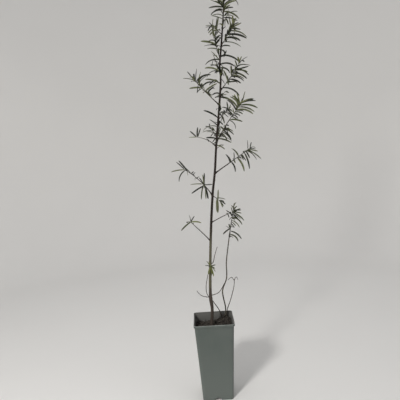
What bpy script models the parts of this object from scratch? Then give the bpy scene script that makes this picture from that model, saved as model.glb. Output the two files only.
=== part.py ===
"""A young potted sea buckthorn: one leaning trunk with its boughs, foliage, sucker and dead twigs,
rooted in dark soil in a deep square nursery pot.

Metres, +Z up. The origin is the middle of the pot's flat underside, +X is the side to which the
trunk leans, and -Y is the side that is seen from the front. Angles in the tables are in degrees:
an azimuth of 0 points along +X, 90 along +Y, and a rise of 90 points straight up.
"""

import math
import random
from typing import NamedTuple

import bmesh
import bpy
from mathutils import Matrix, Vector

UP = Vector((0.0, 0.0, 1.0))

# Clearance between two pieces that touch on the real plant
GAP = 0.0003

# Pot
POT_HEIGHT = 0.219
POT_BASE_SIDE = 0.0855
POT_WALL_TOP_SIDE = 0.1085
POT_RIM_SIDE = 0.113
POT_RIM_HEIGHT = 0.007
POT_WALL = 0.0014
POT_FLOOR = 0.0022
POT_CORNER = 0.008
POT_CORNER_STEPS = 4
POT_EDGE = 0.0006
DRAIN_SLOT_WIDTH = 0.020
DRAIN_SLOT_HEIGHT = 0.0075
DRAIN_SLOT_DEPTH = 0.007
DRAIN_HOLE_DIAMETER = 0.010
DRAIN_HOLE_OFFSET = 0.022
DRAIN_SIDES = 14

# Soil
SOIL_TOP = 0.194
SOIL_RINGS = 7
MOUND_COUNT = 16
MOUND_HEIGHTS = (0.0010, 0.0050)
MOUND_RADIUS = 0.011
TRUNK_SEAT_RADIUS = 0.0145
STEM_SEAT_RADIUS = 0.0095

# Trunk: its line as height above the soil, lean along X and along Y, and its diameters, whose
# first rows give the root flare and the swollen knot above the soil
TRUNK_LINE = (
    (0.000, -0.0072, 0.000),
    (0.050, -0.0018, 0.001),
    (0.095, -0.0042, 0.001),
    (0.190, 0.0012, 0.000),
    (0.300, 0.0104, -0.002),
    (0.378, 0.0192, -0.001),
    (0.445, 0.0298, 0.001),
    (0.513, 0.0374, 0.002),
    (0.626, 0.0530, 0.000),
    (0.692, 0.0600, -0.002),
    (0.722, 0.0590, -0.002),
    (0.795, 0.0688, 0.001),
    (0.880, 0.0792, 0.003),
    (0.965, 0.0868, 0.002),
)
TRUNK_DIAMETERS = (
    (0.000, 0.0136),
    (0.004, 0.0108),
    (0.012, 0.0092),
    (0.054, 0.0086),
    (0.066, 0.0100),
    (0.084, 0.0102),
    (0.100, 0.0082),
    (0.190, 0.0074),
    (0.430, 0.0063),
    (0.620, 0.0056),
    (0.800, 0.0046),
    (0.965, 0.0026),
)
TRUNK_SWELLINGS = 6
TRUNK_TOP = 0.848
TRUNK_SIDES = 12
TRUNK_PIECES = 26
TRUNK_SPACING = 0.004

# Limbs. A tip share is the tip's diameter as a share of the foot's
LIMB_GUIDE = Vector((0.3, 1.0, 0.2))
LIMB_STEPS = 24
SHARP_ANGLE = 50.0
BOUGH_SIDES = 6
BOUGH_PIECES = 5
BOUGH_TIP_SHARE = 0.72
TWIG_SIDES = 3
TWIG_SPACING = 0.012
TWIG_TIP_SHARE = 0.45
STEM_PIECES = 10

# Leaves: straps with a share of the full width at two places along them. They open wide at the
# foot of a stem and close up towards its tip. A leaf that finds no room is tried again, turned
# further round and shorter
LEAF_WIDTH = 0.0050
LEAF_NARROW_SHARE = 0.72
LEAF_FULL_LENGTH = 0.040
LEAF_KEEL = 0.0008
LEAF_SIDES = 3
LEAF_RINGS = ((0.20, 0.95), (0.80, 0.85))
LEAF_ROLL = 50.0
LEAF_TURN = 137.5
LEAF_SIDE_JITTER = 24.0
LEAF_OPEN_AT_FOOT = 68.0
LEAF_OPEN_AT_TIP = 36.0
LEAF_OPEN_JITTER = 12.0
LEAF_DROOP = (18.0, 80.0)
LEAF_LENGTH_SPREAD = (0.74, 1.20)
LEAF_FIRST = 0.0035
LEAF_LAST = 0.0004
LEAF_TRIES = 10
LEAF_TRY_TURN = 18.0
LEAF_TRY_SHORTER = 0.04
LEAF_SPACE = 0.0050
LEAF_CLEARANCE = 0.0034
LEAF_SAMPLES = (0.35, 0.6, 0.8, 1.0)


class Branch(NamedTuple):
    """A bough and the foliage on it. Leaves come in groups along the leafy stretch: where the
    group starts and ends as shares of that stretch, how many leaves, and their length."""
    name: str
    height: float
    azimuth: float
    rise: float
    bend: float
    bare: float
    leafy: float
    diameter: float
    groups: tuple


BRANCHES = (
    Branch("low_left", 0.247, 169, 48, -4, 0.057, 0.020, 0.0028, ((0.2, 1.0, 10, 0.029),)),
    Branch("low_right", 0.299, -21, 27, -4, 0.044, 0.018, 0.0026, ((0.2, 1.0, 6, 0.026),)),
    Branch("front_low", 0.373, -62, -10, -22, 0.010, 0.038, 0.0026, ((0.0, 1.0, 11, 0.032),)),
    Branch("long_left", 0.374, -167, 59, -27, 0.028, 0.082, 0.0034,
           ((0.0, 0.2, 10, 0.042), (0.35, 0.8, 6, 0.024), (0.82, 1.0, 9, 0.039))),
    Branch("long_right", 0.435, 11, 31, 0, 0.046, 0.078, 0.0035,
           ((0.0, 0.85, 16, 0.033), (0.85, 1.0, 9, 0.036))),
    Branch("mid_left", 0.509, 157, 48, -40, 0.020, 0.046, 0.0029,
           ((0.0, 0.3, 6, 0.032), (0.6, 1.0, 8, 0.027))),
    Branch("front_middle", 0.520, -52, 44, -14, 0.011, 0.046, 0.0027, ((0.0, 1.0, 15, 0.036),)),
    Branch("steep_right", 0.520, -8, 60, -14, 0.026, 0.107, 0.0036,
           ((0.0, 0.8, 20, 0.040), (0.8, 1.0, 11, 0.037))),
    Branch("middle_back", 0.533, 112, 44, -12, 0.014, 0.049, 0.0029, ((0.0, 1.0, 13, 0.037),)),
    Branch("spur_right", 0.583, 40, 30, 4, 0.010, 0.042, 0.0025, ((0.0, 1.0, 12, 0.036),)),
    Branch("upper_left", 0.621, -165, 42, 8, 0.028, 0.082, 0.0033,
           ((0.0, 0.75, 15, 0.036), (0.75, 1.0, 9, 0.033))),
    Branch("upper_right", 0.659, -20, 43, 12, 0.018, 0.072, 0.0030,
           ((0.0, 0.7, 14, 0.043), (0.7, 1.0, 10, 0.036))),
    Branch("upper_back", 0.708, 110, 56, -2, 0.014, 0.060, 0.0027, ((0.0, 1.0, 14, 0.040),)),
    Branch("front_upper", 0.744, -128, 62, 4, 0.012, 0.048, 0.0025, ((0.0, 1.0, 16, 0.042),)),
    Branch("crown_right", 0.779, -22, 50, 2, 0.012, 0.050, 0.0023, ((0.0, 1.0, 22, 0.039),)),
    Branch("crown_left", 0.809, 152, 42, 6, 0.009, 0.034, 0.0021, ((0.0, 1.0, 17, 0.036),)),
    Branch("crown_back", 0.838, 50, 46, 2, 0.010, 0.042, 0.0021, ((0.0, 1.0, 14, 0.038),)),
)

# Short leafy spurs that sit straight on the trunk: height, azimuth, number of leaves, leaf length
SPUR_LENGTH = 0.007
SPUR_NECK = 0.0012
SPUR_SEAT = 0.0001
SPUR_DIAMETER = 0.0018
SPUR_RISE = 30.0
SPUR_LEAFY_FROM = 0.45
SPURS = (
    (0.174, 275, 8, 0.024),
    (0.505, 12, 4, 0.034),
    (0.550, 188, 5, 0.040),
    (0.574, 172, 4, 0.046),
    (0.604, -60, 5, 0.042),
    (0.644, 34, 5, 0.048),
    (0.681, 172, 6, 0.042),
    (0.697, -60, 5, 0.046),
    (0.731, 28, 6, 0.046),
    (0.764, 66, 5, 0.042),
    (0.824, -80, 6, 0.040),
)

# Leader above the trunk's last bough
LEADER_GROUPS = ((0.0, 0.75, 34, 0.041), (0.75, 1.0, 14, 0.032))

# Routes of the sucker and of the dead twigs: height above the soil, along X, along Y
SUCKER_ROUTE = (
    (0.000, 0.037, 0.040),
    (0.041, 0.038, 0.040),
    (0.091, 0.032, 0.036),
    (0.130, 0.046, 0.034),
    (0.176, 0.048, 0.034),
    (0.226, 0.056, 0.032),
    (0.276, 0.065, 0.028),
    (0.334, 0.077, 0.020),
)
SUCKER_DIAMETER = 0.0040
SUCKER_LEAFY_FROM = 0.248
SUCKER_GROUPS = ((0.0, 0.7, 18, 0.035), (0.7, 1.0, 12, 0.031))

DEAD_SHOOT_ROUTE = (
    (0.000, 0.029, 0.037),
    (0.035, 0.020, 0.028),
    (0.069, 0.002, 0.016),
    (0.092, -0.013, 0.009),
    (0.116, -0.015, 0.006),
    (0.151, -0.008, 0.004),
)
DEAD_STEM_ROUTE = (
    (0.000, 0.042, 0.044),
    (0.031, 0.043, 0.044),
    (0.060, 0.054, 0.044),
    (0.098, 0.066, 0.044),
    (0.121, 0.069, 0.044),
)
DEAD_STEM_LEFT_CURL = (
    (0.118, 0.0685, 0.044),
    (0.128, 0.062, 0.043),
    (0.126, 0.056, 0.042),
    (0.121, 0.050, 0.041),
)
DEAD_STEM_RIGHT_CURL = (
    (0.118, 0.0685, 0.044),
    (0.127, 0.073, 0.045),
    (0.126, 0.077, 0.046),
    (0.119, 0.079, 0.047),
)
DRY_TWIG_RIGHT_ROUTE = (
    (0.092, -0.004, 0.000),
    (0.094, 0.006, -0.003),
    (0.101, 0.021, -0.004),
    (0.120, 0.034, -0.005),
    (0.138, 0.044, -0.006),
)
DRY_TWIG_LEFT_ROUTE = (
    (0.087, -0.004, 0.000),
    (0.088, -0.012, -0.003),
    (0.093, -0.027, -0.006),
    (0.102, -0.037, -0.008),
    (0.110, -0.042, -0.009),
)
THORN_ROUTE = (
    (0.180, 0.001, 0.000),
    (0.187, 0.009, -0.002),
    (0.208, 0.015, -0.003),
    (0.230, 0.023, -0.003),
)
DEAD_DIAMETER = 0.0027
DRY_DIAMETER = 0.0022
CURL_DIAMETER = 0.0020
DEAD_TIP_SHARE = 0.65
DEAD_SIDES = 5
ROUTE_SPACING = 0.009

# Finishes: colour (linear RGB) and roughness
POT_FINISH = ((0.180, 0.212, 0.190), 0.55)
SOIL_FINISH = ((0.020, 0.014, 0.010), 0.90)
BARK_FINISH = ((0.060, 0.046, 0.030), 0.75)
TWIG_FINISH = ((0.085, 0.070, 0.040), 0.75)
DEAD_FINISH = ((0.170, 0.135, 0.095), 0.80)
LEAF_FINISH = ((0.085, 0.110, 0.045), 0.60)


def clear_scene():
    for item in list(bpy.data.objects):
        bpy.data.objects.remove(item, do_unlink=True)


def material(name, finish):
    colour, roughness = finish
    made = bpy.data.materials.new(name)
    made.use_nodes = True
    shader = made.node_tree.nodes["Principled BSDF"]
    shader.inputs["Base Color"].default_value = (*colour, 1.0)
    shader.inputs["Roughness"].default_value = roughness
    shader.inputs["Metallic"].default_value = 0.0
    return made


def new_object(name, bm, finish):
    """Turns a bmesh into a named object whose faces point outwards."""
    bmesh.ops.recalc_face_normals(bm, faces=bm.faces)
    mesh = bpy.data.meshes.new(name)
    bm.to_mesh(mesh)
    bm.free()
    mesh.materials.append(finish)
    item = bpy.data.objects.new(name, mesh)
    bpy.context.scene.collection.objects.link(item)
    return item


# Lines that limbs follow


def between(table, at):
    """Value at a height, straight between the rows (height, value) of a table."""
    for (low, start), (high, end) in zip(table, table[1:]):
        if at <= high:
            return start + (end - start) * (at - low) / (high - low)
    return table[-1][1]


def smooth_line(rows, spacing):
    """Evenly stepped points on a smooth curve through rows of (height above soil, x, y)."""
    points = [Vector((x, y, SOIL_TOP + height)) for height, x, y in rows]
    line = []
    for index in range(len(points) - 1):
        start, end = points[index], points[index + 1]
        before = points[max(index - 1, 0)]
        after = points[min(index + 2, len(points) - 1)]
        steps = max(1, round((end - start).length / spacing))
        for step in range(steps):
            t = step / steps
            leaving = (end - before) * 0.5
            arriving = (after - start) * 0.5
            line.append(
                start * (2 * t**3 - 3 * t**2 + 1)
                + leaving * (t**3 - 2 * t**2 + t)
                + end * (3 * t**2 - 2 * t**3)
                + arriving * (t**3 - t**2)
            )
    line.append(points[-1])
    return line


def at_height(line, height):
    """Point where a rising line of points passes a height above the soil."""
    wanted = SOIL_TOP + height
    for low, high in zip(line, line[1:]):
        if wanted <= high.z:
            return low.lerp(high, (wanted - low.z) / (high.z - low.z))
    return line[-1]


def trunk_point(height):
    """Middle of the trunk at a height above the soil."""
    return at_height(smooth_line(TRUNK_LINE, TRUNK_SPACING), height)


def heading(azimuth, rise):
    """Unit vector at an azimuth and a rise in degrees."""
    turn, lift = math.radians(azimuth), math.radians(rise)
    return Vector((math.cos(turn) * math.cos(lift), math.sin(turn) * math.cos(lift), math.sin(lift)))


def bent_line(start, azimuth, rise, bend, length):
    """Points along a limb that starts at one rise and bends evenly to another."""
    line = [start.copy()]
    for step in range(LIMB_STEPS):
        share = (step + 0.5) / LIMB_STEPS
        line.append(line[-1] + heading(azimuth, rise + bend * share) * (length / LIMB_STEPS))
    return line


def point_along(line, distance):
    """Point and direction at a distance along a line of points."""
    left = distance
    for start, end in zip(line, line[1:]):
        piece = (end - start).length
        if left <= piece:
            return start.lerp(end, left / piece), (end - start).normalized()
        left -= piece
    return line[-1].copy(), (line[-1] - line[-2]).normalized()


def line_length(line):
    return sum((end - start).length for start, end in zip(line, line[1:]))


def stretch(line, start, end, pieces):
    """The stretch of a line from one distance to another, in equal pieces."""
    return [point_along(line, start + (end - start) * step / pieces)[0] for step in range(pieces + 1)]


def tapered(foot, tip, pieces):
    """Diameters that run evenly from the foot's to the tip's."""
    return [foot + (tip - foot) * step / pieces for step in range(pieces + 1)]


# Solid limbs and leaves


def ring(bm, centre, across, upward, sides):
    """A closed ring of edges with its two half-widths given as vectors."""
    square = across.cross(upward).normalized()
    frame = Matrix((across, upward, square)).transposed().to_4x4()
    made = bmesh.ops.create_circle(
        bm, segments=sides, radius=1.0, matrix=Matrix.Translation(centre) @ frame)
    return made["verts"]


def edges_of(verts):
    return {edge for vert in verts for edge in vert.link_edges if edge.is_wire or edge.is_boundary}


def bridge(bm, first, second):
    bmesh.ops.bridge_loops(bm, edges=list(edges_of(first) | edges_of(second)))


def limb(name, line, diameters, sides, finish, level_foot=False):
    """A tapering limb with flat ends. With a level foot its first ring lies flat on the soil."""
    bm = bmesh.new()
    side = None
    previous = None
    for index, centre in enumerate(line):
        along = (line[min(index + 1, len(line) - 1)] - line[max(index - 1, 0)]).normalized()
        if index == 0 and level_foot:
            along = UP
        guide = side if side else along.cross(LIMB_GUIDE)
        side = (guide - along * guide.dot(along)).normalized()
        half = diameters[index] / 2
        verts = ring(bm, centre, side * half, along.cross(side) * half, sides)
        if previous:
            bridge(bm, previous, verts)
        else:
            bm.faces.new(verts)
        previous = verts
    bm.faces.new(previous)
    item = new_object(name, bm, finish)
    item.data.shade_smooth()
    item.data.set_sharp_from_angle(angle=math.radians(SHARP_ANGLE))
    return item


def leaf_curve(root, outward, droop, length):
    """The midrib of a leaf: it leaves along outward and turns down by its droop. Returns a function
    from 0 at the root to 1 at the tip, which gives point, direction ahead and underside."""
    down = (outward * outward.z - UP).normalized() or outward.orthogonal().normalized()

    def at(share):
        turn = droop * share
        point = root + (outward * math.sin(turn) + down * (1 - math.cos(turn))) * (length / droop)
        ahead = outward * math.cos(turn) + down * math.sin(turn)
        under = down * math.cos(turn) - outward * math.sin(turn)
        return point, ahead, under

    return at


def leaf(name, curve, width, roll, finish):
    """A slender strap of a leaf: a short point at each end, flat above, with a keel below."""
    bm = bmesh.new()
    previous = None
    for share, fullness in LEAF_RINGS:
        centre, ahead, under = curve(share)
        under.rotate(Matrix.Rotation(roll, 3, ahead))
        across = under.cross(ahead)
        half = width * fullness / 2 / math.sin(math.pi / LEAF_SIDES)
        verts = ring(bm, centre, across * half, under * LEAF_KEEL, LEAF_SIDES)
        if previous:
            bridge(bm, previous, verts)
        else:
            point = bm.verts.new(curve(0.0)[0])
            for first, second in zip(verts, verts[1:] + verts[:1]):
                bm.faces.new((point, first, second))
        previous = verts
    point = bm.verts.new(curve(1.0)[0])
    for first, second in zip(previous, previous[1:] + previous[:1]):
        bm.faces.new((point, second, first))
    return new_object(name, bm, finish)


# Where leaves grow


def distance_to(point, line):
    """Shortest distance from a point to a line of points."""
    best = math.inf
    for start, end in zip(line, line[1:]):
        span = end - start
        share = max(0.0, min(1.0, (point - start).dot(span) / span.length_squared))
        best = min(best, (point - start - span * share).length_squared)
    return math.sqrt(best)


def leaf_fits(curve, own, stems, limbs):
    """True where a leaf stays nearest to its own stem and clear of every limb."""
    for share in LEAF_SAMPLES:
        point = curve(share)[0]
        reach = distance_to(point, stems[own])
        for line, half in limbs:
            if distance_to(point, line) < half + LEAF_CLEARANCE:
                return False
        for name, line in stems.items():
            if name != own and distance_to(point, line) < reach + LEAF_SPACE:
                return False
        if point.z < POT_HEIGHT + LEAF_SPACE:
            return False
    return True


def grow_leaves(own, groups, stems, limbs):
    """The leaves of one stem as (curve, width, roll). They turn round the stem by a fixed angle and
    close up towards its tip. One that leaves the stem's space is tried at other angles."""
    chance = random.Random("leaves of " + own)
    line = stems[own]
    total = line_length(line)
    grown = []
    turn = chance.uniform(0.0, 360.0)
    for first, last, count, usual_length in groups:
        for number in range(count):
            share = first + (last - first) * (number + 0.5) / count
            along = min(max(total * share, LEAF_FIRST), total - LEAF_LAST)
            root, axis = point_along(line, along)
            turn += LEAF_TURN
            for attempt in range(LEAF_TRIES):
                swing = LEAF_SIDE_JITTER + LEAF_TRY_TURN * attempt
                around = turn + chance.uniform(-swing, swing)
                opening = LEAF_OPEN_AT_FOOT + (LEAF_OPEN_AT_TIP - LEAF_OPEN_AT_FOOT) * share
                opening += chance.uniform(-LEAF_OPEN_JITTER, LEAF_OPEN_JITTER)
                length = usual_length * chance.uniform(*LEAF_LENGTH_SPREAD)
                length *= 1 - LEAF_TRY_SHORTER * attempt
                droop = math.radians(chance.uniform(*LEAF_DROOP))
                roll = math.radians(chance.uniform(-LEAF_ROLL, LEAF_ROLL))
                side = axis.cross(LIMB_GUIDE).normalized()
                side.rotate(Matrix.Rotation(math.radians(around), 3, axis))
                spread = math.radians(opening)
                outward = (axis * math.cos(spread) + side * math.sin(spread)).normalized()
                curve = leaf_curve(root, outward, droop, length)
                if leaf_fits(curve, own, stems, limbs):
                    fullness = min(1.0, length / LEAF_FULL_LENGTH)
                    width = LEAF_NARROW_SHARE + (1 - LEAF_NARROW_SHARE) * fullness
                    grown.append((curve, LEAF_WIDTH * width, roll))
                    break
    return grown


def fuse(item, pieces):
    """Joins pieces onto an object as one closed body and removes them."""
    group = bpy.data.collections.new(item.name + "_pieces")
    bpy.context.scene.collection.children.link(group)
    for piece in pieces:
        group.objects.link(piece)
    union = item.modifiers.new("union", "BOOLEAN")
    union.operation = "UNION"
    union.operand_type = "COLLECTION"
    union.collection = group
    union.solver = "EXACT"
    bpy.context.view_layer.update()
    evaluated = item.evaluated_get(bpy.context.evaluated_depsgraph_get())
    joined = bpy.data.meshes.new_from_object(evaluated)
    joined.name = item.name
    item.modifiers.remove(union)
    item.data = joined
    for piece in pieces:
        bpy.data.objects.remove(piece, do_unlink=True)
    bpy.data.collections.remove(group)


def foliage(name, line, diameter, groups, stems, limbs, twig_finish, leaf_finish):
    """One mass: a three-sided twig along its line, with its leaves fused on."""
    pieces = max(1, round(line_length(line) / TWIG_SPACING))
    route = stretch(line, 0.0, line_length(line), pieces)
    taper = tapered(diameter, diameter * TWIG_TIP_SHARE, pieces)
    twig = limb(name, route, taper, TWIG_SIDES, twig_finish)
    leaves = [leaf(f"{name}_leaf_{number}", curve, width, roll, leaf_finish)
              for number, (curve, width, roll) in enumerate(grow_leaves(name, groups, stems, limbs))]
    fuse(twig, leaves)
    return twig


# Pot and soil


def square_ring(bm, side, corner, height):
    """A closed loop of vertices: a square with round corners, level at one height."""
    verts = []
    inset = side / 2 - corner
    for quarter in range(4):
        centre = Vector((inset, inset, height))
        centre.rotate(Matrix.Rotation(math.radians(90 * quarter), 3, "Z"))
        for step in range(POT_CORNER_STEPS + 1):
            angle = math.radians(90 * (quarter + step / POT_CORNER_STEPS))
            verts.append(bm.verts.new(centre + Vector((math.cos(angle), math.sin(angle), 0)) * corner))
    for first, second in zip(verts, verts[1:] + verts[:1]):
        bm.edges.new((first, second))
    return verts


def pot_side(height):
    """Outer side of the pot's plain wall at a height."""
    wall_top = POT_HEIGHT - POT_RIM_HEIGHT
    return POT_BASE_SIDE + (POT_WALL_TOP_SIDE - POT_BASE_SIDE) * height / wall_top


def cutter(name, bm):
    item = new_object(name, bm, bpy.data.materials.new(name))
    item.hide_render = True
    item.display_type = "WIRE"
    return item


def cut(item, tool):
    difference = item.modifiers.new("cut by " + tool.name, "BOOLEAN")
    difference.operation = "DIFFERENCE"
    difference.object = tool
    difference.solver = "EXACT"


def make_pot(finish):
    """Thin tapered wall with a stepped rim and a flat floor, drained by slots and holes."""
    wall_top = POT_HEIGHT - POT_RIM_HEIGHT
    rim_inside = POT_RIM_SIDE - 2 * POT_WALL
    profile = (
        (POT_BASE_SIDE - 2 * POT_EDGE, 0.0),
        (pot_side(POT_EDGE), POT_EDGE),
        (pot_side(wall_top), wall_top),
        (POT_RIM_SIDE, wall_top + POT_EDGE),
        (POT_RIM_SIDE, POT_HEIGHT - POT_EDGE / 2),
        (POT_RIM_SIDE - POT_EDGE, POT_HEIGHT),
        (rim_inside, POT_HEIGHT - POT_EDGE / 2),
        (rim_inside, wall_top + POT_WALL),
        (pot_side(wall_top) - 2 * POT_WALL, wall_top - POT_WALL / 2),
        (pot_side(POT_FLOOR) - 2 * POT_WALL, POT_FLOOR),
    )
    bm = bmesh.new()
    previous = None
    for side, height in profile:
        verts = square_ring(bm, side, POT_CORNER, height)
        if previous:
            bridge(bm, previous, verts)
        else:
            bm.faces.new(verts)
        previous = verts
    bm.faces.new(previous)
    pot = new_object("pot", bm, finish)

    for number in range(2):
        bm = bmesh.new()
        turn = Matrix.Rotation(math.radians(90 * number), 4, "Z")
        flat = Matrix.Diagonal((POT_RIM_SIDE, DRAIN_SLOT_WIDTH / 2, DRAIN_SLOT_HEIGHT, 1.0))
        lay = Matrix.Rotation(math.radians(90), 4, "Y")
        bmesh.ops.create_cone(
            bm, cap_ends=True, segments=DRAIN_SIDES, radius1=1.0, radius2=1.0, depth=1.0,
            matrix=turn @ flat @ lay)
        middle = POT_BASE_SIDE - 2 * DRAIN_SLOT_DEPTH
        keep = bmesh.new()
        bmesh.ops.create_cube(
            keep, size=1.0, matrix=Matrix.Diagonal((middle, middle, POT_HEIGHT, 1.0)))
        slot = cutter(f"drain_slot_{number + 1}", bm)
        cut(slot, cutter(f"floor_middle_{number + 1}", keep))
        cut(pot, slot)

    bm = bmesh.new()
    for x in (-DRAIN_HOLE_OFFSET, DRAIN_HOLE_OFFSET):
        for y in (-DRAIN_HOLE_OFFSET, DRAIN_HOLE_OFFSET):
            bmesh.ops.create_cone(
                bm, cap_ends=True, segments=DRAIN_SIDES, radius1=DRAIN_HOLE_DIAMETER / 2,
                radius2=DRAIN_HOLE_DIAMETER / 2, depth=4 * POT_FLOOR,
                matrix=Matrix.Translation((x, y, 0)))
    cut(pot, cutter("drain_holes", bm))
    return pot


def soil_height(x, y, mounds, seats):
    """Height of the soil's surface: small mounds, worn level round each stem's foot."""
    rise = 0.0
    for place_x, place_y, size in mounds:
        away = ((x - place_x)**2 + (y - place_y)**2) / MOUND_RADIUS**2
        rise += size * math.exp(-away)
    for seat_x, seat_y, radius in seats:
        away = math.hypot(x - seat_x, y - seat_y)
        rise *= max(0.0, min(1.0, (away - radius) / radius))
    return SOIL_TOP + rise


def make_soil(seats, finish):
    """The filling of the pot, with an uneven surface that is flat under every stem."""
    chance = random.Random("soil")
    reach = pot_side(SOIL_TOP) / 2 - POT_WALL - GAP
    mounds = [(chance.uniform(-reach, reach), chance.uniform(-reach, reach),
               chance.uniform(*MOUND_HEIGHTS)) for _ in range(MOUND_COUNT)]
    bm = bmesh.new()
    floor = POT_FLOOR + GAP
    inside = [pot_side(height) - 2 * POT_WALL - 2 * GAP for height in (floor, SOIL_TOP)]
    previous = square_ring(bm, inside[0], POT_CORNER, floor)
    bm.faces.new(previous)
    for number in range(SOIL_RINGS):
        share = 1.0 - number / SOIL_RINGS
        verts = square_ring(bm, inside[1] * share, POT_CORNER * share, SOIL_TOP)
        if number:
            for vert in verts:
                vert.co.z = soil_height(vert.co.x, vert.co.y, mounds, seats)
        bridge(bm, previous, verts)
        previous = verts
    bm.faces.new(previous)
    return new_object("soil", bm, finish)


def make_plant():
    bark = material("bark", BARK_FINISH)
    twig_bark = material("twig bark", TWIG_FINISH)
    dead_wood = material("dead wood", DEAD_FINISH)
    leaf_green = material("leaf", LEAF_FINISH)

    # Trunk, and the same shape grown by the gap, which cuts its boughs clear
    heights = [TRUNK_TOP * step / TRUNK_PIECES for step in range(TRUNK_PIECES + 1)]
    swellings = [height for height, _ in TRUNK_DIAMETERS[1:TRUNK_SWELLINGS + 1]]
    heights = sorted(heights + swellings)
    line = [trunk_point(height) for height in heights]
    line[0].z += GAP
    widths = [between(TRUNK_DIAMETERS, height) for height in heights]
    limb("trunk", line, widths, TRUNK_SIDES, bark, level_foot=True)
    wide = [width + 2 * GAP / math.cos(math.pi / TRUNK_SIDES) for width in widths]
    clearance = limb("trunk_clearance", line, wide, TRUNK_SIDES, bark)
    clearance.hide_render = True
    clearance.display_type = "WIRE"

    # Lines of all stems first, so that each mass knows the space of the others
    stems = {}
    limbs = [(line, between(TRUNK_DIAMETERS, BRANCHES[0].height) / 2)]
    girths = {}
    groups = {}
    boughs = []
    for branch in BRANCHES:
        whole = bent_line(trunk_point(branch.height), branch.azimuth, branch.rise, branch.bend,
                          branch.bare + branch.leafy)
        start = between(TRUNK_DIAMETERS, branch.height) / 2
        meet = start + branch.bare
        bough_line = stretch(whole, 0.0, meet, BOUGH_PIECES)
        tip_girth = branch.diameter * BOUGH_TIP_SHARE
        taper = tapered(branch.diameter, tip_girth, BOUGH_PIECES)
        boughs.append(("bough_" + branch.name, bough_line, taper))
        limbs.append((bough_line, branch.diameter / 2))
        name = "foliage_" + branch.name
        stems[name] = stretch(whole, meet + GAP, line_length(whole), STEM_PIECES)
        girths[name] = tip_girth
        groups[name] = branch.groups
    for number, (height, azimuth, count, length) in enumerate(SPURS):
        name = f"spur_leaves_{number + 1:02d}"
        level = heading(azimuth, 0.0)
        girth = between(TRUNK_DIAMETERS, height)
        foot = at_height(line, height) + level * (girth / 2 + GAP + SPUR_SEAT)
        neck = foot + level * SPUR_NECK
        stems[name] = [foot, neck, neck + heading(azimuth, SPUR_RISE) * SPUR_LENGTH]
        girths[name] = SPUR_DIAMETER
        groups[name] = ((SPUR_LEAFY_FROM, 1.0, count, length),)
    leader = smooth_line(TRUNK_LINE, TRUNK_SPACING)
    leader = [point for point in leader if point.z > line[-1].z + TRUNK_SPACING / 2]
    stems["foliage_leader"] = [line[-1] + (leader[0] - line[-1]).normalized() * GAP] + leader
    girths["foliage_leader"] = widths[-1]
    groups["foliage_leader"] = LEADER_GROUPS

    sucker = smooth_line(SUCKER_ROUTE, ROUTE_SPACING)
    sucker[0].z += GAP
    whole_length = line_length(sucker)
    pieces = round(SUCKER_LEAFY_FROM / ROUTE_SPACING)
    sucker_stem = stretch(sucker, 0.0, SUCKER_LEAFY_FROM, pieces)
    tip_girth = SUCKER_DIAMETER * BOUGH_TIP_SHARE
    sucker_taper = tapered(SUCKER_DIAMETER, tip_girth, pieces)
    stems["foliage_sucker"] = stretch(sucker, SUCKER_LEAFY_FROM + GAP, whole_length, STEM_PIECES)
    girths["foliage_sucker"] = tip_girth
    groups["foliage_sucker"] = SUCKER_GROUPS
    limbs.append((sucker_stem, SUCKER_DIAMETER / 2))

    dead = {}
    for name, route, girth, stands in (
            ("dead_shoot_left", DEAD_SHOOT_ROUTE, DEAD_DIAMETER, True),
            ("dead_stem_right", DEAD_STEM_ROUTE, DEAD_DIAMETER, True),
            ("dry_twig_right", DRY_TWIG_RIGHT_ROUTE, DRY_DIAMETER, False),
            ("dry_twig_left", DRY_TWIG_LEFT_ROUTE, DRY_DIAMETER, False),
            ("thorn", THORN_ROUTE, DRY_DIAMETER, False)):
        route_line = smooth_line(route, ROUTE_SPACING)
        if stands:
            route_line[0].z += GAP
        dead[name] = (route_line, girth, stands)
        limbs.append((route_line, girth / 2))

    # Solids
    for name, bough_line, taper in boughs:
        cut(limb(name, bough_line, taper, BOUGH_SIDES, bark), clearance)
    limb("sucker_stem", sucker_stem, sucker_taper, BOUGH_SIDES, twig_bark, level_foot=True)
    for name, (route_line, girth, stands) in dead.items():
        taper = tapered(girth, girth * DEAD_TIP_SHARE, len(route_line) - 1)
        item = limb(name, route_line, taper, DEAD_SIDES, dead_wood, level_foot=stands)
        if name == "dead_stem_right":
            curls = []
            for route in (DEAD_STEM_LEFT_CURL, DEAD_STEM_RIGHT_CURL):
                curl = smooth_line(route, ROUTE_SPACING / 2)
                girths_along = tapered(CURL_DIAMETER, CURL_DIAMETER, len(curl) - 1)
                curls.append(limb(name + "_curl", curl, girths_along, DEAD_SIDES, dead_wood))
            fuse(item, curls)
        if not stands:
            cut(item, clearance)
    for name, stem in stems.items():
        foliage(name, stem, girths[name], groups[name], stems, limbs, twig_bark, leaf_green)

    return [(route[0][1], route[0][2]) for route in
            (TRUNK_LINE, SUCKER_ROUTE, DEAD_SHOOT_ROUTE, DEAD_STEM_ROUTE)]


def main():
    clear_scene()
    make_pot(material("pot plastic", POT_FINISH))
    feet = make_plant()
    seats = [(x, y, STEM_SEAT_RADIUS if number else TRUNK_SEAT_RADIUS)
             for number, (x, y) in enumerate(feet)]
    make_soil(seats, material("soil", SOIL_FINISH))


main()
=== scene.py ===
"""Looks of a young sea buckthorn in a deep square nursery pot.

Metres, +Z up, with the origin in the middle of the pot's flat underside. Angles in the tables are
in degrees: an azimuth of 0 points along +X, 90 along +Y, and a rise of 90 points straight up.
"""

import math
import random
from typing import NamedTuple

import bmesh
import bpy
import numpy
from mathutils import Matrix, Vector, noise


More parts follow.
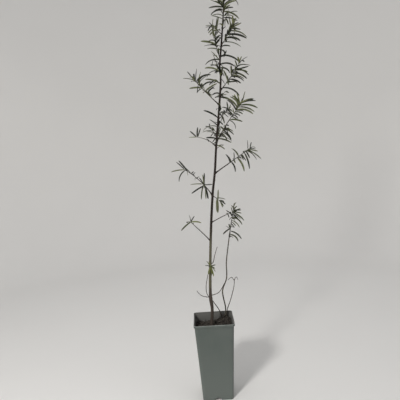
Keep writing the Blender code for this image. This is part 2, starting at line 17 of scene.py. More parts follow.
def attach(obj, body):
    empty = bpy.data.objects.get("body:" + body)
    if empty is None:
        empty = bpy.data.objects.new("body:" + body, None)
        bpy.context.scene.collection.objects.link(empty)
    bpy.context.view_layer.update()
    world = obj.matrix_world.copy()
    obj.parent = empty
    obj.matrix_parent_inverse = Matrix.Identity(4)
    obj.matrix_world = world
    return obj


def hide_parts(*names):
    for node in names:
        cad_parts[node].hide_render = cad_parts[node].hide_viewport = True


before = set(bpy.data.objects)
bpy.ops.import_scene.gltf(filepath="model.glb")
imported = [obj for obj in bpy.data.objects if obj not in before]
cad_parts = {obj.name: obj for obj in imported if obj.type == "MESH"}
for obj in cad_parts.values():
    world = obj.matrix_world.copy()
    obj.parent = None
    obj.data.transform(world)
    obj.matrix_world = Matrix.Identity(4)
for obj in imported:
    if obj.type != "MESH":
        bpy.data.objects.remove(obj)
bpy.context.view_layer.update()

# Camera
# It stands 1.2 m in front of the plant, a little above half its height, looks slightly down and
# is held a little crooked. The focal length is in pixels of the square picture.
CAMERA_PLACE = (-0.018, -1.166, 0.647)
CAMERA_TURN = 0.05
CAMERA_DOWN = 4.37
CAMERA_TILT = 3.61
PICTURE_SIDE = 400
FOCAL_PIXELS = 420


def turned(angle, axis):
    """Rotation by an angle in degrees."""
    return Matrix.Rotation(math.radians(angle), 4, axis)


camera = bpy.data.objects.new("camera", bpy.data.cameras.new("camera"))
camera.data.lens = camera.data.sensor_width * FOCAL_PIXELS / PICTURE_SIDE
camera.matrix_world = (
    Matrix.Translation(CAMERA_PLACE) @ turned(-CAMERA_TURN, "Z")
    @ turned(90 - CAMERA_DOWN, "X") @ turned(-CAMERA_TILT, "Z"))
bpy.context.scene.collection.objects.link(camera)
bpy.context.scene.camera = camera

# Pot
# A deep square nursery pot of thin matte polypropylene, moulded in one piece. Its walls taper and
# are slightly sunken, the rim steps out, and a raised floor stands on a foot notched for draining.
POT_HEIGHT = 0.219
POT_BASE_SIDE = 0.0855
POT_WALL_TOP_SIDE = 0.1085
POT_RIM_SIDE = 0.113
POT_RIM_HEIGHT = 0.007
POT_WALL = 0.0014
POT_CORNER = 0.008
POT_CORNER_STEPS = 8
POT_WALL_STRIPS = 12
POT_WALL_ROWS = 18
POT_SUNKEN = 0.0010
POT_RIM_WAVE = 0.0010
POT_RIM_WAVE_LENGTH = 0.045
POT_EDGE = 0.0004
POT_FOOT_WIDTH = 0.0045
POT_FLOOR_RAISED = 0.007
NOTCH_WIDTH = 0.019
NOTCH_HEIGHT = 0.0070
DRAIN_HOLE_DIAMETER = 0.010
DRAIN_HOLE_OFFSET = 0.022
ROUND_SIDES = 28
POT_GREEN = (0.073, 0.088, 0.080)
POT_GREEN_PALE = (0.087, 0.101, 0.093)
# Paler green for the foot of the pot: painted light.
POT_GREEN_PAINTED_LIT_FOOT = (0.114, 0.130, 0.120)
# Pale colour for the top of the rim: partly wear, partly a painted highlight.
POT_WORN_AND_HIGHLIT = (0.260, 0.280, 0.262)
POT_INSIDE = (0.104, 0.102, 0.096)
POT_SOILED = (0.018, 0.014, 0.011)
POT_CLOUD = 0.060
POT_STREAK = 0.010
POT_GRAIN = 0.0006
POT_GRAIN_DEPTH = 0.0001
RIM_WEAR_AND_HIGHLIGHT = 0.0022
RIM_WEAR_AND_HIGHLIGHT_RAGGED = 0.0030
DIRT_SMEAR = 0.012
DIRT_RUN = 0.009
DIRT_BELOW_RIM = 0.012
DIRT_STEEPNESS = 18.0
DIRT_DEPTH = 0.0004
UPRIGHT = 0.9


class Wire:
    """A node's output that takes part in sums. Each operator adds the Math node for it."""

    def __init__(self, finish, socket):
        self.finish = finish
        self.socket = socket

    def math(self, operation, first, second):
        return self.finish.node("ShaderNodeMath", {"operation": operation}, {0: first, 1: second})

    def __add__(self, other):
        return self.math("ADD", self, other)

    def __radd__(self, other):
        return self.math("ADD", other, self)

    def __sub__(self, other):
        return self.math("SUBTRACT", self, other)

    def __rsub__(self, other):
        return self.math("SUBTRACT", other, self)

    def __mul__(self, other):
        return self.math("MULTIPLY", self, other)

    def __rmul__(self, other):
        return self.math("MULTIPLY", other, self)


class Finish:
    """A material on a Principled shader. What is the same all over it sits on the shader itself."""

    def __init__(self, name, constants):
        self.material = bpy.data.materials.new(name)
        self.material.use_nodes = True
        self.tree = self.material.node_tree
        self.shader = self.tree.nodes["Principled BSDF"]
        for socket, value in constants.items():
            self.fill(self.shader.inputs[socket], value)
        self.place = self.node("ShaderNodeTexCoord", output="Object")

    def fill(self, socket, value):
        if isinstance(value, Wire):
            self.tree.links.new(value.socket, socket)
        elif socket.type == "RGBA":
            socket.default_value = (*value, 1.0)
        else:
            socket.default_value = value

    def node(self, kind, settings=None, inputs=None, output=0):
        """Adds a node: its settings first, then the values or links of its sockets."""
        made = self.tree.nodes.new(kind)
        for setting, value in (settings or {}).items():
            setattr(made, setting, value)
        for socket, value in (inputs or {}).items():
            self.fill(made.inputs[socket], value)
        return Wire(self, made.outputs[output])

    def noise(self, size, detail=3.0, stretch=(1.0, 1.0, 1.0)):
        """Noise from 0 to 1 whose features have about a given size in metres."""
        laid = self.node("ShaderNodeMapping", {}, {"Vector": self.place, "Scale": stretch})
        return self.node(
            "ShaderNodeTexNoise", {}, {"Vector": laid, "Scale": 1 / size, "Detail": detail})

    def ramp(self, value, low, high):
        """0 up to low, 1 from high on, and smooth between them."""
        return self.node(
            "ShaderNodeMapRange", {"interpolation_type": "SMOOTHSTEP"},
            {"Value": value, "From Min": low, "From Max": high})

    def blend(self, share, first, second):
        """The first colour where the share is 0 and the second where it is 1."""
        return self.node(
            "ShaderNodeMix", {"data_type": "RGBA"}, {0: share, 6: first, 7: second}, output=2)

    def height(self):
        return self.node("ShaderNodeSeparateXYZ", {}, {0: self.place}, output=2)

    def paint(self, colour, roughness):
        self.fill(self.shader.inputs["Base Color"], colour)
        self.fill(self.shader.inputs["Roughness"], roughness)

    def relief(self, height, depth):
        """Bump whose height of 1 stands for a depth in metres."""
        bump = self.node("ShaderNodeBump", {}, {"Distance": depth, "Height": height})
        self.fill(self.shader.inputs["Normal"], bump)


def new_piece(name, bm, finishes, sharp=40.0):
    """Turns a bmesh into a named piece of the plant, smooth but for edges sharper than an angle."""
    mesh = bpy.data.meshes.new(name)
    bm.to_mesh(mesh)
    bm.free()
    for finish in finishes:
        mesh.materials.append(finish.material)
    mesh.shade_smooth()
    mesh.set_sharp_from_angle(angle=math.radians(sharp))
    piece = bpy.data.objects.new(name, mesh)
    bpy.context.scene.collection.objects.link(piece)
    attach(piece, "root")
    return piece


def rises(edge):
    """Whether an edge climbs."""
    return abs(edge.verts[0].co.z - edge.verts[1].co.z) > 1e-5


def rim_wave(place):
    """How far a thin rim stands out of true at a place on it."""
    return POT_RIM_WAVE * noise.noise(place / POT_RIM_WAVE_LENGTH)


def cut_from(piece, bm):
    """Takes a shape out of a piece for good."""
    tool = bpy.data.objects.new("cutter", bpy.data.meshes.new("cutter"))
    bm.to_mesh(tool.data)
    bm.free()
    bpy.context.scene.collection.objects.link(tool)
    cut = piece.modifiers.new("cut", "BOOLEAN")
    cut.operation = "DIFFERENCE"
    cut.object = tool
    bpy.context.view_layer.update()
    evaluated = piece.evaluated_get(bpy.context.evaluated_depsgraph_get())
    whole = piece.data
    piece.data = bpy.data.meshes.new_from_object(evaluated)
    piece.modifiers.clear()
    bpy.data.meshes.remove(whole)
    bpy.data.objects.remove(tool)


pot = bmesh.new()
bmesh.ops.create_cube(pot, size=1.0)
wall_top = POT_HEIGHT - POT_RIM_HEIGHT
for vert in pot.verts:
    upper = vert.co.z > 0
    side = POT_WALL_TOP_SIDE if upper else POT_BASE_SIDE
    vert.co = Vector((vert.co.x * side, vert.co.y * side, wall_top if upper else 0.0))
bmesh.ops.bevel(
    pot, geom=[edge for edge in pot.edges if rises(edge)], offset=POT_CORNER, offset_type="OFFSET",
    segments=POT_CORNER_STEPS, profile=0.5, affect="EDGES", material=-1)
pot.normal_update()
ends = [face for face in pot.faces if abs(face.normal.z) > UPRIGHT]
bmesh.ops.delete(pot, geom=ends, context="FACES_ONLY")
bmesh.ops.subdivide_edges(
    pot, cuts=POT_WALL_STRIPS - 1, use_grid_fill=True,
    edges=[edge for edge in pot.edges if not rises(edge) and edge.calc_length() > 2 * POT_CORNER])
bmesh.ops.subdivide_edges(
    pot, cuts=POT_WALL_ROWS - 1, use_grid_fill=True, edges=[edge for edge in pot.edges if rises(edge)])
for vert in pot.verts:
    out, along = sorted((abs(vert.co.x), abs(vert.co.y)), reverse=True)
    sunk = POT_SUNKEN * (1 - (along / out) ** 2) * math.sin(math.pi * vert.co.z / wall_top)
    vert.co.xy *= 1 - sunk / out
foot = [edge for edge in pot.edges if edge.is_boundary and edge.verts[0].co.z < POT_EDGE]
floor = bmesh.ops.contextual_create(pot, geom=foot)["faces"]
bmesh.ops.inset_region(pot, faces=floor, thickness=POT_FOOT_WIDTH, use_even_offset=True)
for vert in floor[0].verts:
    vert.co.z += POT_FLOOR_RAISED
for step_out, step_up in ((POT_RIM_SIDE / POT_WALL_TOP_SIDE, POT_EDGE), (1.0, POT_RIM_HEIGHT - POT_EDGE)):
    lip = [edge for edge in pot.edges if edge.is_boundary]
    grown = bmesh.ops.extrude_edge_only(pot, edges=lip)["geom"]
    for vert in [item for item in grown if isinstance(item, bmesh.types.BMVert)]:
        vert.co.xy *= step_out
        vert.co.z += step_up
for vert in pot.verts:
    if vert.co.z > wall_top:
        vert.co.xy *= 1 + rim_wave(vert.co) / POT_RIM_SIDE * 2
        vert.co.z -= abs(rim_wave(vert.co + Vector((POT_RIM_SIDE, 0, 0)))) / 2
bmesh.ops.recalc_face_normals(pot, faces=pot.faces)
bmesh.ops.solidify(pot, geom=pot.faces[:], thickness=POT_WALL)
bmesh.ops.recalc_face_normals(pot, faces=pot.faces)
bmesh.ops.bevel(
    pot, geom=[edge for edge in pot.edges if edge.calc_face_angle(0) > math.radians(60)],
    offset=POT_EDGE, offset_type="OFFSET", segments=2, profile=0.5, affect="EDGES", material=-1)
for face in pot.faces:
    middle = face.calc_center_median()
    inwards = face.normal.xy.dot(middle.xy) < 0 and middle.z > POT_FLOOR_RAISED
    face.material_index = int(inwards or (face.normal.z > 0.5 and middle.z < wall_top / 2))

pot_outside = Finish("grey-green pot plastic", {"Specular IOR Level": 0.35})
cloud = pot_outside.noise(POT_CLOUD)
streak = pot_outside.noise(POT_STREAK, stretch=(1.0, 1.0, 0.08))
grain = pot_outside.noise(POT_GRAIN, detail=2.0)
# The pale band along the top of the rim is partly wear and partly a painted highlight.
wear_and_highlight = pot_outside.ramp(
    pot_outside.height() + (streak - 0.5) * RIM_WEAR_AND_HIGHLIGHT_RAGGED, POT_HEIGHT - RIM_WEAR_AND_HIGHLIGHT,
    POT_HEIGHT - POT_EDGE)
plain = pot_outside.blend(
    pot_outside.ramp(cloud * 0.8 + streak * 0.2, 0.32, 0.68), POT_GREEN, POT_GREEN_PALE)
# Painted light and shade: the pot is painted darker up under the rim and paler towards its foot.
painted_light_below = pot_outside.blend(
    pot_outside.ramp(pot_outside.height() + 0.02 * cloud, POT_HEIGHT, 0.0), plain, POT_GREEN_PAINTED_LIT_FOOT)
pot_outside.paint(pot_outside.blend(wear_and_highlight * 0.6, painted_light_below, POT_WORN_AND_HIGHLIT), 0.42 + 0.22 * cloud)
pot_outside.relief(grain * 0.4 + streak * 0.6, POT_GRAIN_DEPTH)

pot_inside = Finish("inside of the pot", {"Specular IOR Level": 0.3})
smear = pot_inside.noise(DIRT_SMEAR, detail=6.0)
run = pot_inside.noise(DIRT_RUN, stretch=(1.0, 1.0, 0.15))
depth = POT_HEIGHT - DIRT_BELOW_RIM - pot_inside.height()
splash = pot_inside.ramp(0.5 * smear + 0.9 * run - 0.45 + DIRT_STEEPNESS * depth, 0.40, 0.72)
pot_inside.paint(pot_inside.blend(splash, POT_INSIDE, POT_SOILED), 0.55 + 0.3 * splash)
pot_inside.relief(smear, DIRT_DEPTH)

pot_shell = new_piece("pot_shell", pot, [pot_outside, pot_inside])
for quarter in (0, 90):
    notches = bmesh.new()
    flat = Matrix.Diagonal((POT_RIM_SIDE, NOTCH_WIDTH / 2, NOTCH_HEIGHT, 1.0))
    bmesh.ops.create_cone(
        notches, cap_ends=True, segments=ROUND_SIDES, radius1=1.0, radius2=1.0, depth=1.0,
        matrix=turned(quarter, "Z") @ flat @ turned(90, "Y"))
    cut_from(pot_shell, notches)
holes = bmesh.new()
for x in (-DRAIN_HOLE_OFFSET, DRAIN_HOLE_OFFSET):
    for y in (-DRAIN_HOLE_OFFSET, DRAIN_HOLE_OFFSET):
        bmesh.ops.create_cone(
            holes, cap_ends=True, segments=ROUND_SIDES, radius1=DRAIN_HOLE_DIAMETER / 2,
            radius2=DRAIN_HOLE_DIAMETER / 2, depth=4 * POT_WALL,
            matrix=Matrix.Translation((x, y, POT_FLOOR_RAISED)))
cut_from(pot_shell, holes)
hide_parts("pot")

# Soil
# Dark peat potting soil, pressed into the pot and loose on top: one uneven bed with clods, bark
# chips and a few grains of perlite lying on it. It is heaped round the feet of the stems.
SOIL_TOP = 0.194
GAP = 0.0003
SOIL_SETTLED = 0.001
SOIL_STEPS = 120
TRUNK_FOOT = (-0.0072, 0.0)
SUCKER_FOOT = (0.037, 0.040)
SOIL_WAVES = ((0.022, 0.0040), (0.009, 0.0040), (0.0035, 0.0020), (0.0015, 0.0007))
SOIL_HEAPS = (
    (TRUNK_FOOT, 0.011, 0.0018),
    (SUCKER_FOOT, 0.019, 0.0150),
    ((0.020, 0.030), 0.016, 0.0050),
    ((-0.026, 0.020), 0.013, 0.0050),
    ((0.020, -0.004), 0.014, 0.0030),
)
CLOD_COUNT = 520
CLOD_SIZES = (0.0009, 0.0048)
CHIP_COUNT = 40
CHIP_SIZE = 0.0035
PERLITE_COUNT = 12
PERLITE_SIZE = 0.0011
STONE_RARITY = 2.5
STONE_TILT = 25
STONE_SQUEEZE = (0.7, 1.2)
STONE_SUNK = 0.3
STONE_LUMPS = 1.6
STONE_LUMP_SWELL = 0.45
PEAT_LUMP = 0.004
PEAT_CRUMB = 0.0009
PEAT_DEPTH = 0.0012
CHIP_FIBRE = 0.0012
PERLITE_PORE = 0.0005
STONE_DEPTH = 0.0003
SOIL_DARK = (0.016, 0.014, 0.012)
SOIL_BROWN = (0.096, 0.082, 0.068)
CHIP_BROWN = (0.062, 0.042, 0.028)
PERLITE_WHITE = (0.560, 0.540, 0.500)


def inner_side(height):
    """Inner side of the pot's wall at a height."""
    outer = POT_BASE_SIDE + (POT_WALL_TOP_SIDE - POT_BASE_SIDE) * height / wall_top
    return outer - 2 * POT_WALL


def soil_height(x, y):
    rise = -SOIL_SETTLED
    for size, swing in SOIL_WAVES:
        rise += swing * noise.noise(Vector((x / size, y / size, size)))
    for (heap_x, heap_y), reach, top in SOIL_HEAPS:
        rise += top * math.exp(-((x - heap_x) ** 2 + (y - heap_y) ** 2) / reach**2)
    return SOIL_TOP + rise


def round_corner(place, half, corner):
    """Draws the corners of a square in to a radius."""
    over = Vector((max(0.0, abs(place.x) - half + corner), max(0.0, abs(place.y) - half + corner)))
    if min(over) > 0:
        drawn = over.normalized() * max(over)
        place.x = math.copysign(half - corner + drawn.x, place.x)
        place.y = math.copysign(half - corner + drawn.y, place.y)


soil = bmesh.new()
soil_half = inner_side(SOIL_TOP) / 2 - GAP - POT_SUNKEN
bmesh.ops.create_grid(soil, x_segments=SOIL_STEPS, y_segments=SOIL_STEPS, size=soil_half)
for vert in soil.verts:
    round_corner(vert.co, soil_half, POT_CORNER)
    vert.co.z = soil_height(vert.co.x, vert.co.y)
brim = [edge for edge in soil.edges if edge.is_boundary]
grown = bmesh.ops.extrude_edge_only(soil, edges=brim)["geom"]
soil_bottom = POT_FLOOR_RAISED + POT_WALL + GAP
shrink = (inner_side(soil_bottom) / 2 - GAP - POT_SUNKEN) / soil_half
for vert in [item for item in grown if isinstance(item, bmesh.types.BMVert)]:
    vert.co.xy *= shrink
    vert.co.z = soil_bottom
bmesh.ops.contextual_create(soil, geom=[edge for edge in soil.edges if edge.is_boundary])
bmesh.ops.recalc_face_normals(soil, faces=soil.faces)

peat = Finish("dark peat", {"Specular IOR Level": 0.2})
lumps = peat.noise(PEAT_LUMP, detail=6.0)
crumbs = peat.noise(PEAT_CRUMB, detail=4.0)
dry = peat.ramp(lumps * 0.5 + crumbs * 0.5, 0.42, 0.66)
peat.paint(peat.blend(dry, SOIL_DARK, SOIL_BROWN), 0.80 + 0.2 * crumbs)
peat.relief(lumps * 0.6 + crumbs * 0.4, PEAT_DEPTH)
soil_bed = new_piece("soil_bed", soil, [peat], sharp=60.0)
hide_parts("soil")


def scatter(bm, chance, count, sizes, shape):
    """Lies stones of one shape and many sizes on the soil, each lumpy in its own way."""
    for _ in range(count):
        size = sizes[0] + (sizes[1] - sizes[0]) * chance.random() ** STONE_RARITY
        x, y = (chance.uniform(-1, 1) * (soil_half - 2 * size) for _ in range(2))
        spin = turned(chance.uniform(0, 360), "Z") @ turned(chance.uniform(-STONE_TILT, STONE_TILT), "X")
        axes = [size * value * chance.uniform(*STONE_SQUEEZE) for value in shape]
        lie = Matrix.Translation((x, y, soil_height(x, y) + size * shape[2] * STONE_SUNK))
        made = bmesh.ops.create_icosphere(bm, subdivisions=2, radius=1.0)
        own = chance.uniform(0, 100)
        for vert in made["verts"]:
            lump = noise.noise(vert.co * STONE_LUMPS + Vector((own, 0, 0)))
            vert.co *= 1 + STONE_LUMP_SWELL * lump
        bmesh.ops.transform(bm, matrix=lie @ spin @ Matrix.Diagonal((*axes, 1.0)), verts=made["verts"])


chance = random.Random("soil on top")
clods = bmesh.new()
scatter(clods, chance, CLOD_COUNT, CLOD_SIZES, (1.0, 0.9, 0.7))
new_piece("soil_clods", clods, [peat], sharp=35.0)

chip_bark = Finish("bark chips", {"Specular IOR Level": 0.2})
fibre = chip_bark.noise(CHIP_FIBRE, stretch=(1.0, 0.2, 1.0))
chip_bark.paint(chip_bark.blend(fibre, SOIL_BROWN, CHIP_BROWN), 0.75 + 0.2 * fibre)
chip_bark.relief(fibre, STONE_DEPTH)
chips = bmesh.new()
scatter(chips, chance, CHIP_COUNT, (CHIP_SIZE / 2, CHIP_SIZE), (1.0, 0.45, 0.18))
new_piece("soil_chips", chips, [chip_bark], sharp=25.0)

perlite = Finish("perlite", {"Specular IOR Level": 0.3})
pores = perlite.noise(PERLITE_PORE)
perlite.paint(perlite.blend(pores, PERLITE_WHITE, CHIP_BROWN), 0.7 + 0.2 * pores)
perlite.relief(pores, STONE_DEPTH)
grains = bmesh.new()
scatter(grains, chance, PERLITE_COUNT, (PERLITE_SIZE / 2, PERLITE_SIZE), (1.0, 0.9, 0.8))
new_piece("soil_perlite", grains, [perlite], sharp=25.0)

# Trunk and boughs
# One leaning trunk that tapers from a flared foot, and seventeen boughs that leave it in a collar.
# Living wood under thin bark: dark at the foot, olive above it, dark brown in the crown, with
# shallow furrows and the scars of old leaves.
TRUNK_LINE = (
    (0.000, -0.0072, 0.000),
    (0.050, -0.0018, 0.001),
    (0.095, -0.0042, 0.001),
    (0.190, 0.0012, 0.000),
    (0.300, 0.0104, -0.002),
    (0.378, 0.0192, -0.001),
    (0.445, 0.0298, 0.001),
    (0.513, 0.0374, 0.002),
    (0.626, 0.0530, 0.000),
    (0.692, 0.0600, -0.002),
    (0.722, 0.0590, -0.002),
    (0.795, 0.0688, 0.001),
    (0.880, 0.0792, 0.003),
    (0.965, 0.0868, 0.002),
)
TRUNK_DIAMETERS = (
    (0.000, 0.0136),
    (0.004, 0.0108),
    (0.012, 0.0092),
    (0.054, 0.0086),
    (0.066, 0.0100),
    (0.084, 0.0102),
    (0.100, 0.0082),
    (0.190, 0.0074),
    (0.430, 0.0063),
    (0.620, 0.0056),
    (0.800, 0.0046),
    (0.965, 0.0026),
)
TRUNK_SWELLINGS = 6
TRUNK_TOP = 0.848
TRUNK_SUNK = 0.008
TRUNK_SPACING = 0.004
TRUNK_SIDES = 22
TRUNK_PIECES = 480
ROOT_RIDGES = 5
ROOT_RIDGE_SWELL = 0.16
ROOT_RIDGE_TOP = 0.014
LIMB_GUIDE = Vector((0.3, 1.0, 0.2))
LIMB_STEPS = 24
BOUGH_SIDES = 12
BOUGH_SPACING = 0.0012
BOUGH_TIP_SHARE = 0.72
COLLAR_SWELL = 0.75
COLLAR_REACH = 0.0042
FURROW_DEPTH = 0.055
BROAD_FURROW = 0.012
FINE_FURROW = 0.004
SCAR_TURN = 137.5
SCAR_SPACING = 0.011
SCAR_SIZE = 0.0013
SCAR_HEIGHT = 0.0005
SCARS_FULL_FROM = 0.1
BARK_FOOT = (0.054, 0.043, 0.036)
BARK_OLIVE = (0.100, 0.094, 0.062)
BARK_DARK = (0.017, 0.012, 0.010)
BARK_GREY = (0.046, 0.036, 0.031)
BOUGH_BROWN = (0.020, 0.015, 0.012)
OLIVE_FROM = SOIL_TOP + 0.109
OLIVE_TO = SOIL_TOP + 0.262
OLIVE_SHARP = 0.008
OLIVE_SOFT = 0.030
OLIVE_RAGGED = 0.05
BARK_DEPTH = 0.00035


class Branch(NamedTuple):
    """A bough and the foliage on it. Leaves come in groups along the leafy stretch: where the
    group starts and ends as shares of that stretch, how many leaves, and their length."""
    name: str
    height: float
    azimuth: float
    rise: float
    bend: float
    bare: float
    leafy: float
    diameter: float
    groups: tuple


BRANCHES = (
    Branch("low_left", 0.247, 169, 48, -4, 0.057, 0.020, 0.0028, ((0.2, 1.0, 2, 0.015),)),
    Branch("low_right", 0.299, -21, 27, -4, 0.044, 0.018, 0.0026, ((0.2, 1.0, 3, 0.014),)),
    Branch("front_low", 0.373, -62, -10, -22, 0.010, 0.038, 0.0026, ((0.0, 1.0, 6, 0.028),)),
    Branch("long_left", 0.374, -167, 59, -27, 0.028, 0.082, 0.0034,
           ((0.0, 0.2, 6, 0.034), (0.35, 0.8, 4, 0.012), (0.82, 1.0, 3, 0.024))),
    Branch("long_right", 0.435, 11, 31, 0, 0.046, 0.078, 0.0035,
           ((0.0, 0.85, 16, 0.033), (0.85, 1.0, 9, 0.036))),
    Branch("mid_left", 0.509, 157, 48, -40, 0.020, 0.046, 0.0029,
           ((0.0, 0.2, 3, 0.018), (0.7, 1.0, 4, 0.024))),
    Branch("front_middle", 0.520, -52, 44, -14, 0.011, 0.046, 0.0027, ((0.0, 1.0, 15, 0.036),)),
    Branch("steep_right", 0.520, -8, 60, -14, 0.026, 0.107, 0.0036,
           ((0.0, 0.8, 20, 0.040), (0.8, 1.0, 11, 0.037))),
    Branch("middle_back", 0.533, 112, 44, -12, 0.014, 0.049, 0.0029, ((0.0, 1.0, 6, 0.018),)),
    Branch("spur_right", 0.583, 40, 30, 4, 0.010, 0.042, 0.0025, ((0.0, 1.0, 12, 0.036),)),
    Branch("upper_left", 0.621, -165, 42, 8, 0.028, 0.082, 0.0033,
           ((0.0, 0.75, 15, 0.036), (0.75, 1.0, 9, 0.033))),
    Branch("upper_right", 0.659, -20, 43, 12, 0.018, 0.072, 0.0030,
           ((0.0, 0.7, 14, 0.043), (0.7, 1.0, 10, 0.036))),
    Branch("upper_back", 0.708, 110, 56, -2, 0.014, 0.060, 0.0027, ((0.0, 1.0, 14, 0.040),)),
    Branch("front_upper", 0.744, -128, 62, 4, 0.012, 0.048, 0.0025, ((0.0, 1.0, 16, 0.042),)),
    Branch("crown_right", 0.779, -22, 50, 2, 0.012, 0.050, 0.0023, ((0.0, 1.0, 22, 0.039),)),
    Branch("crown_left", 0.809, 152, 42, 6, 0.009, 0.034, 0.0021, ((0.0, 1.0, 17, 0.036),)),
    Branch("crown_back", 0.838, 50, 46, 2, 0.010, 0.042, 0.0021, ((0.0, 1.0, 10, 0.034),)),
)


UP = Vector((0.0, 0.0, 1.0))


def between(table, at):
    """Value at a height, straight between the rows (height, value) of a table."""
    for (low, start), (high, end) in zip(table, table[1:]):
        if at <= high:
            return start + (end - start) * (at - low) / (high - low)
    return table[-1][1]


def smooth_line(rows, spacing):
    """Evenly stepped points on a smooth curve through rows of (height above soil, x, y)."""
    points = [Vector((x, y, SOIL_TOP + height)) for height, x, y in rows]
    line = []
    for index in range(len(points) - 1):
        start, end = points[index], points[index + 1]
        before = points[max(index - 1, 0)]
        after = points[min(index + 2, len(points) - 1)]
        steps = max(1, round((end - start).length / spacing))
        for step in range(steps):
            t = step / steps
            leaving = (end - before) * 0.5
            arriving = (after - start) * 0.5
            line.append(
                start * (2 * t**3 - 3 * t**2 + 1)
                + leaving * (t**3 - 2 * t**2 + t)
                + end * (3 * t**2 - 2 * t**3)
                + arriving * (t**3 - t**2)
            )
    line.append(points[-1])
    return line


def at_height(line, height):
    """Point where a rising line of points passes a height above the soil."""
    wanted = SOIL_TOP + height
    for low, high in zip(line, line[1:]):
        if wanted <= high.z:
            return low.lerp(high, (wanted - low.z) / (high.z - low.z))
    return line[-1]


def heading(azimuth, rise):
    """Unit vector at an azimuth and a rise in degrees."""
    turn, lift = math.radians(azimuth), math.radians(rise)
    return Vector((math.cos(turn) * math.cos(lift), math.sin(turn) * math.cos(lift), math.sin(lift)))


def bent_line(start, azimuth, rise, bend, length):
    """Points along a limb that starts at one rise and bends evenly to another."""
    line = [start.copy()]
    for step in range(LIMB_STEPS):
        share = (step + 0.5) / LIMB_STEPS
        line.append(line[-1] + heading(azimuth, rise + bend * share) * (length / LIMB_STEPS))
    return line


def point_along(line, distance):
    """Point and direction at a distance along a line of points."""
    left = distance
    for start, end in zip(line, line[1:]):
        piece = (end - start).length
        if left <= piece:
            return start.lerp(end, left / piece), (end - start).normalized()
        left -= piece
    return line[-1].copy(), (line[-1] - line[-2]).normalized()


def line_length(line):
    return sum((end - start).length for start, end in zip(line, line[1:]))


def stretch(line, start, end, pieces):
    """The stretch of a line from one distance to another, in equal pieces."""
    return [point_along(line, start + (end - start) * step / pieces)[0] for step in range(pieces + 1)]


def rod(sides, pieces):
    """An upright cylinder in rings, 1 in radius and height, to be laid along a limb."""
    bm = bmesh.new()
    bmesh.ops.create_cone(
        bm, cap_ends=True, segments=sides, radius1=1.0, radius2=1.0, depth=1.0,
        matrix=Matrix.Translation((0, 0, 0.5)))
    upright = [edge for edge in bm.edges if rises(edge)]
    bmesh.ops.subdivide_edges(bm, edges=upright, cuts=pieces - 1, use_grid_fill=True)
    return bm


def lay(bm, sides, line, pieces, radius):
    """Adds a limb along a line. The radius is a function of the distance along the limb and the
    angle round it."""
    length = line_length(line)
    route = stretch(line, 0.0, length, pieces)
    side = (route[1] - route[0]).cross(LIMB_GUIDE)
    rings = []
    for index, centre in enumerate(route):
        along = (route[min(index + 1, pieces)] - route[max(index - 1, 0)]).normalized()
        side = (side - along * side.dot(along)).normalized()
        rings.append((centre, side, along.cross(side)))
    limb = rod(sides, pieces)
    for vert in limb.verts:
        index = round(vert.co.z * pieces)
        angle = math.atan2(vert.co.y, vert.co.x)
        centre, side, upward = rings[index]
        reach = radius(length * index / pieces, angle)
        vert.co = centre + (side * math.cos(angle) + upward * math.sin(angle)) * reach
    mesh = bpy.data.meshes.new("limb")
    limb.to_mesh(mesh)
    limb.free()
    bm.from_mesh(mesh)
    bpy.data.meshes.remove(mesh)


def furrow(along, angle, own):
    """Shallow lengthwise furrows of bark, as a share of the radius. Each limb has its own number."""
    x, y = math.cos(angle), math.sin(angle)
    broad = noise.noise(Vector((x * 1.5, y * 1.5 + own, along / BROAD_FURROW)))
    fine = noise.noise(Vector((x * 4, y * 4 + own, along / FINE_FURROW)))
    return FURROW_DEPTH * (0.6 * broad + 0.4 * fine)


def scar(along, angle, girth):
    """Height of the nearest leaf scar, on a spiral up the limb."""
    number = round(along / SCAR_SPACING)
    aside = math.remainder(angle - math.radians(SCAR_TURN) * number, math.tau) * girth / 2
    away = aside**2 + (along - SCAR_SPACING * number) ** 2
    return SCAR_HEIGHT * math.exp(-away / SCAR_SIZE**2)


whole_trunk = smooth_line(TRUNK_LINE, TRUNK_SPACING)
trunk_line = [at_height(whole_trunk, TRUNK_TOP * step / TRUNK_PIECES)
              for step in range(TRUNK_PIECES + 1)]
trunk_line.insert(0, trunk_line[0] - UP * TRUNK_SUNK)


def trunk_radius(along, angle):
    height = max(0.0, along - TRUNK_SUNK)
    girth = between(TRUNK_DIAMETERS, height)
    ridge = ROOT_RIDGE_SWELL * math.cos(ROOT_RIDGES * angle)
    ridge *= math.exp(-((height / ROOT_RIDGE_TOP) ** 2))
    scars = min(1.0, height / SCARS_FULL_FROM) * scar(height, angle, girth)
    return girth / 2 * (1 + ridge + furrow(along, angle, 0.0)) + scars


wood = bmesh.new()
lay(wood, TRUNK_SIDES, trunk_line, TRUNK_PIECES, trunk_radius)
trunk_faces = len(wood.faces)
bough_tips = {}
for number, branch in enumerate(BRANCHES):
    whole = bent_line(at_height(whole_trunk, branch.height), branch.azimuth, branch.rise, branch.bend,
                      branch.bare + branch.leafy)
    inside = between(TRUNK_DIAMETERS, branch.height) / 2
    meet = inside + branch.bare
    bough_tips[branch.name] = (whole, meet)
    pieces = round(meet / BOUGH_SPACING)

    def bough_radius(along, angle):
        girth = branch.diameter * (1 + (BOUGH_TIP_SHARE - 1) * along / meet)
        collar = COLLAR_SWELL * math.exp(-((max(0.0, along - inside) / COLLAR_REACH) ** 2))
        return girth / 2 * (1 + collar + furrow(along, angle, number + 1)) + scar(along, angle, girth)

    lay(wood, BOUGH_SIDES, stretch(whole, 0.0, meet, pieces), pieces, bough_radius)

def woody(name, gloss, grain, grain_share, patches, edges, colours, roughness, depth):
    """A finish of fine grain over broad patches. Both noises are given by size, detail and
    stretch, and the roughness by its least value and what the grain adds."""
    finish = Finish(name, {"Specular IOR Level": gloss})
    fine = finish.noise(*grain)
    mixed = fine * grain_share + finish.noise(*patches) * (1 - grain_share)
    smoothest, added = roughness
    finish.paint(finish.blend(finish.ramp(mixed, *edges), *colours), smoothest + added * fine)
    finish.relief(fine, depth)
    return finish


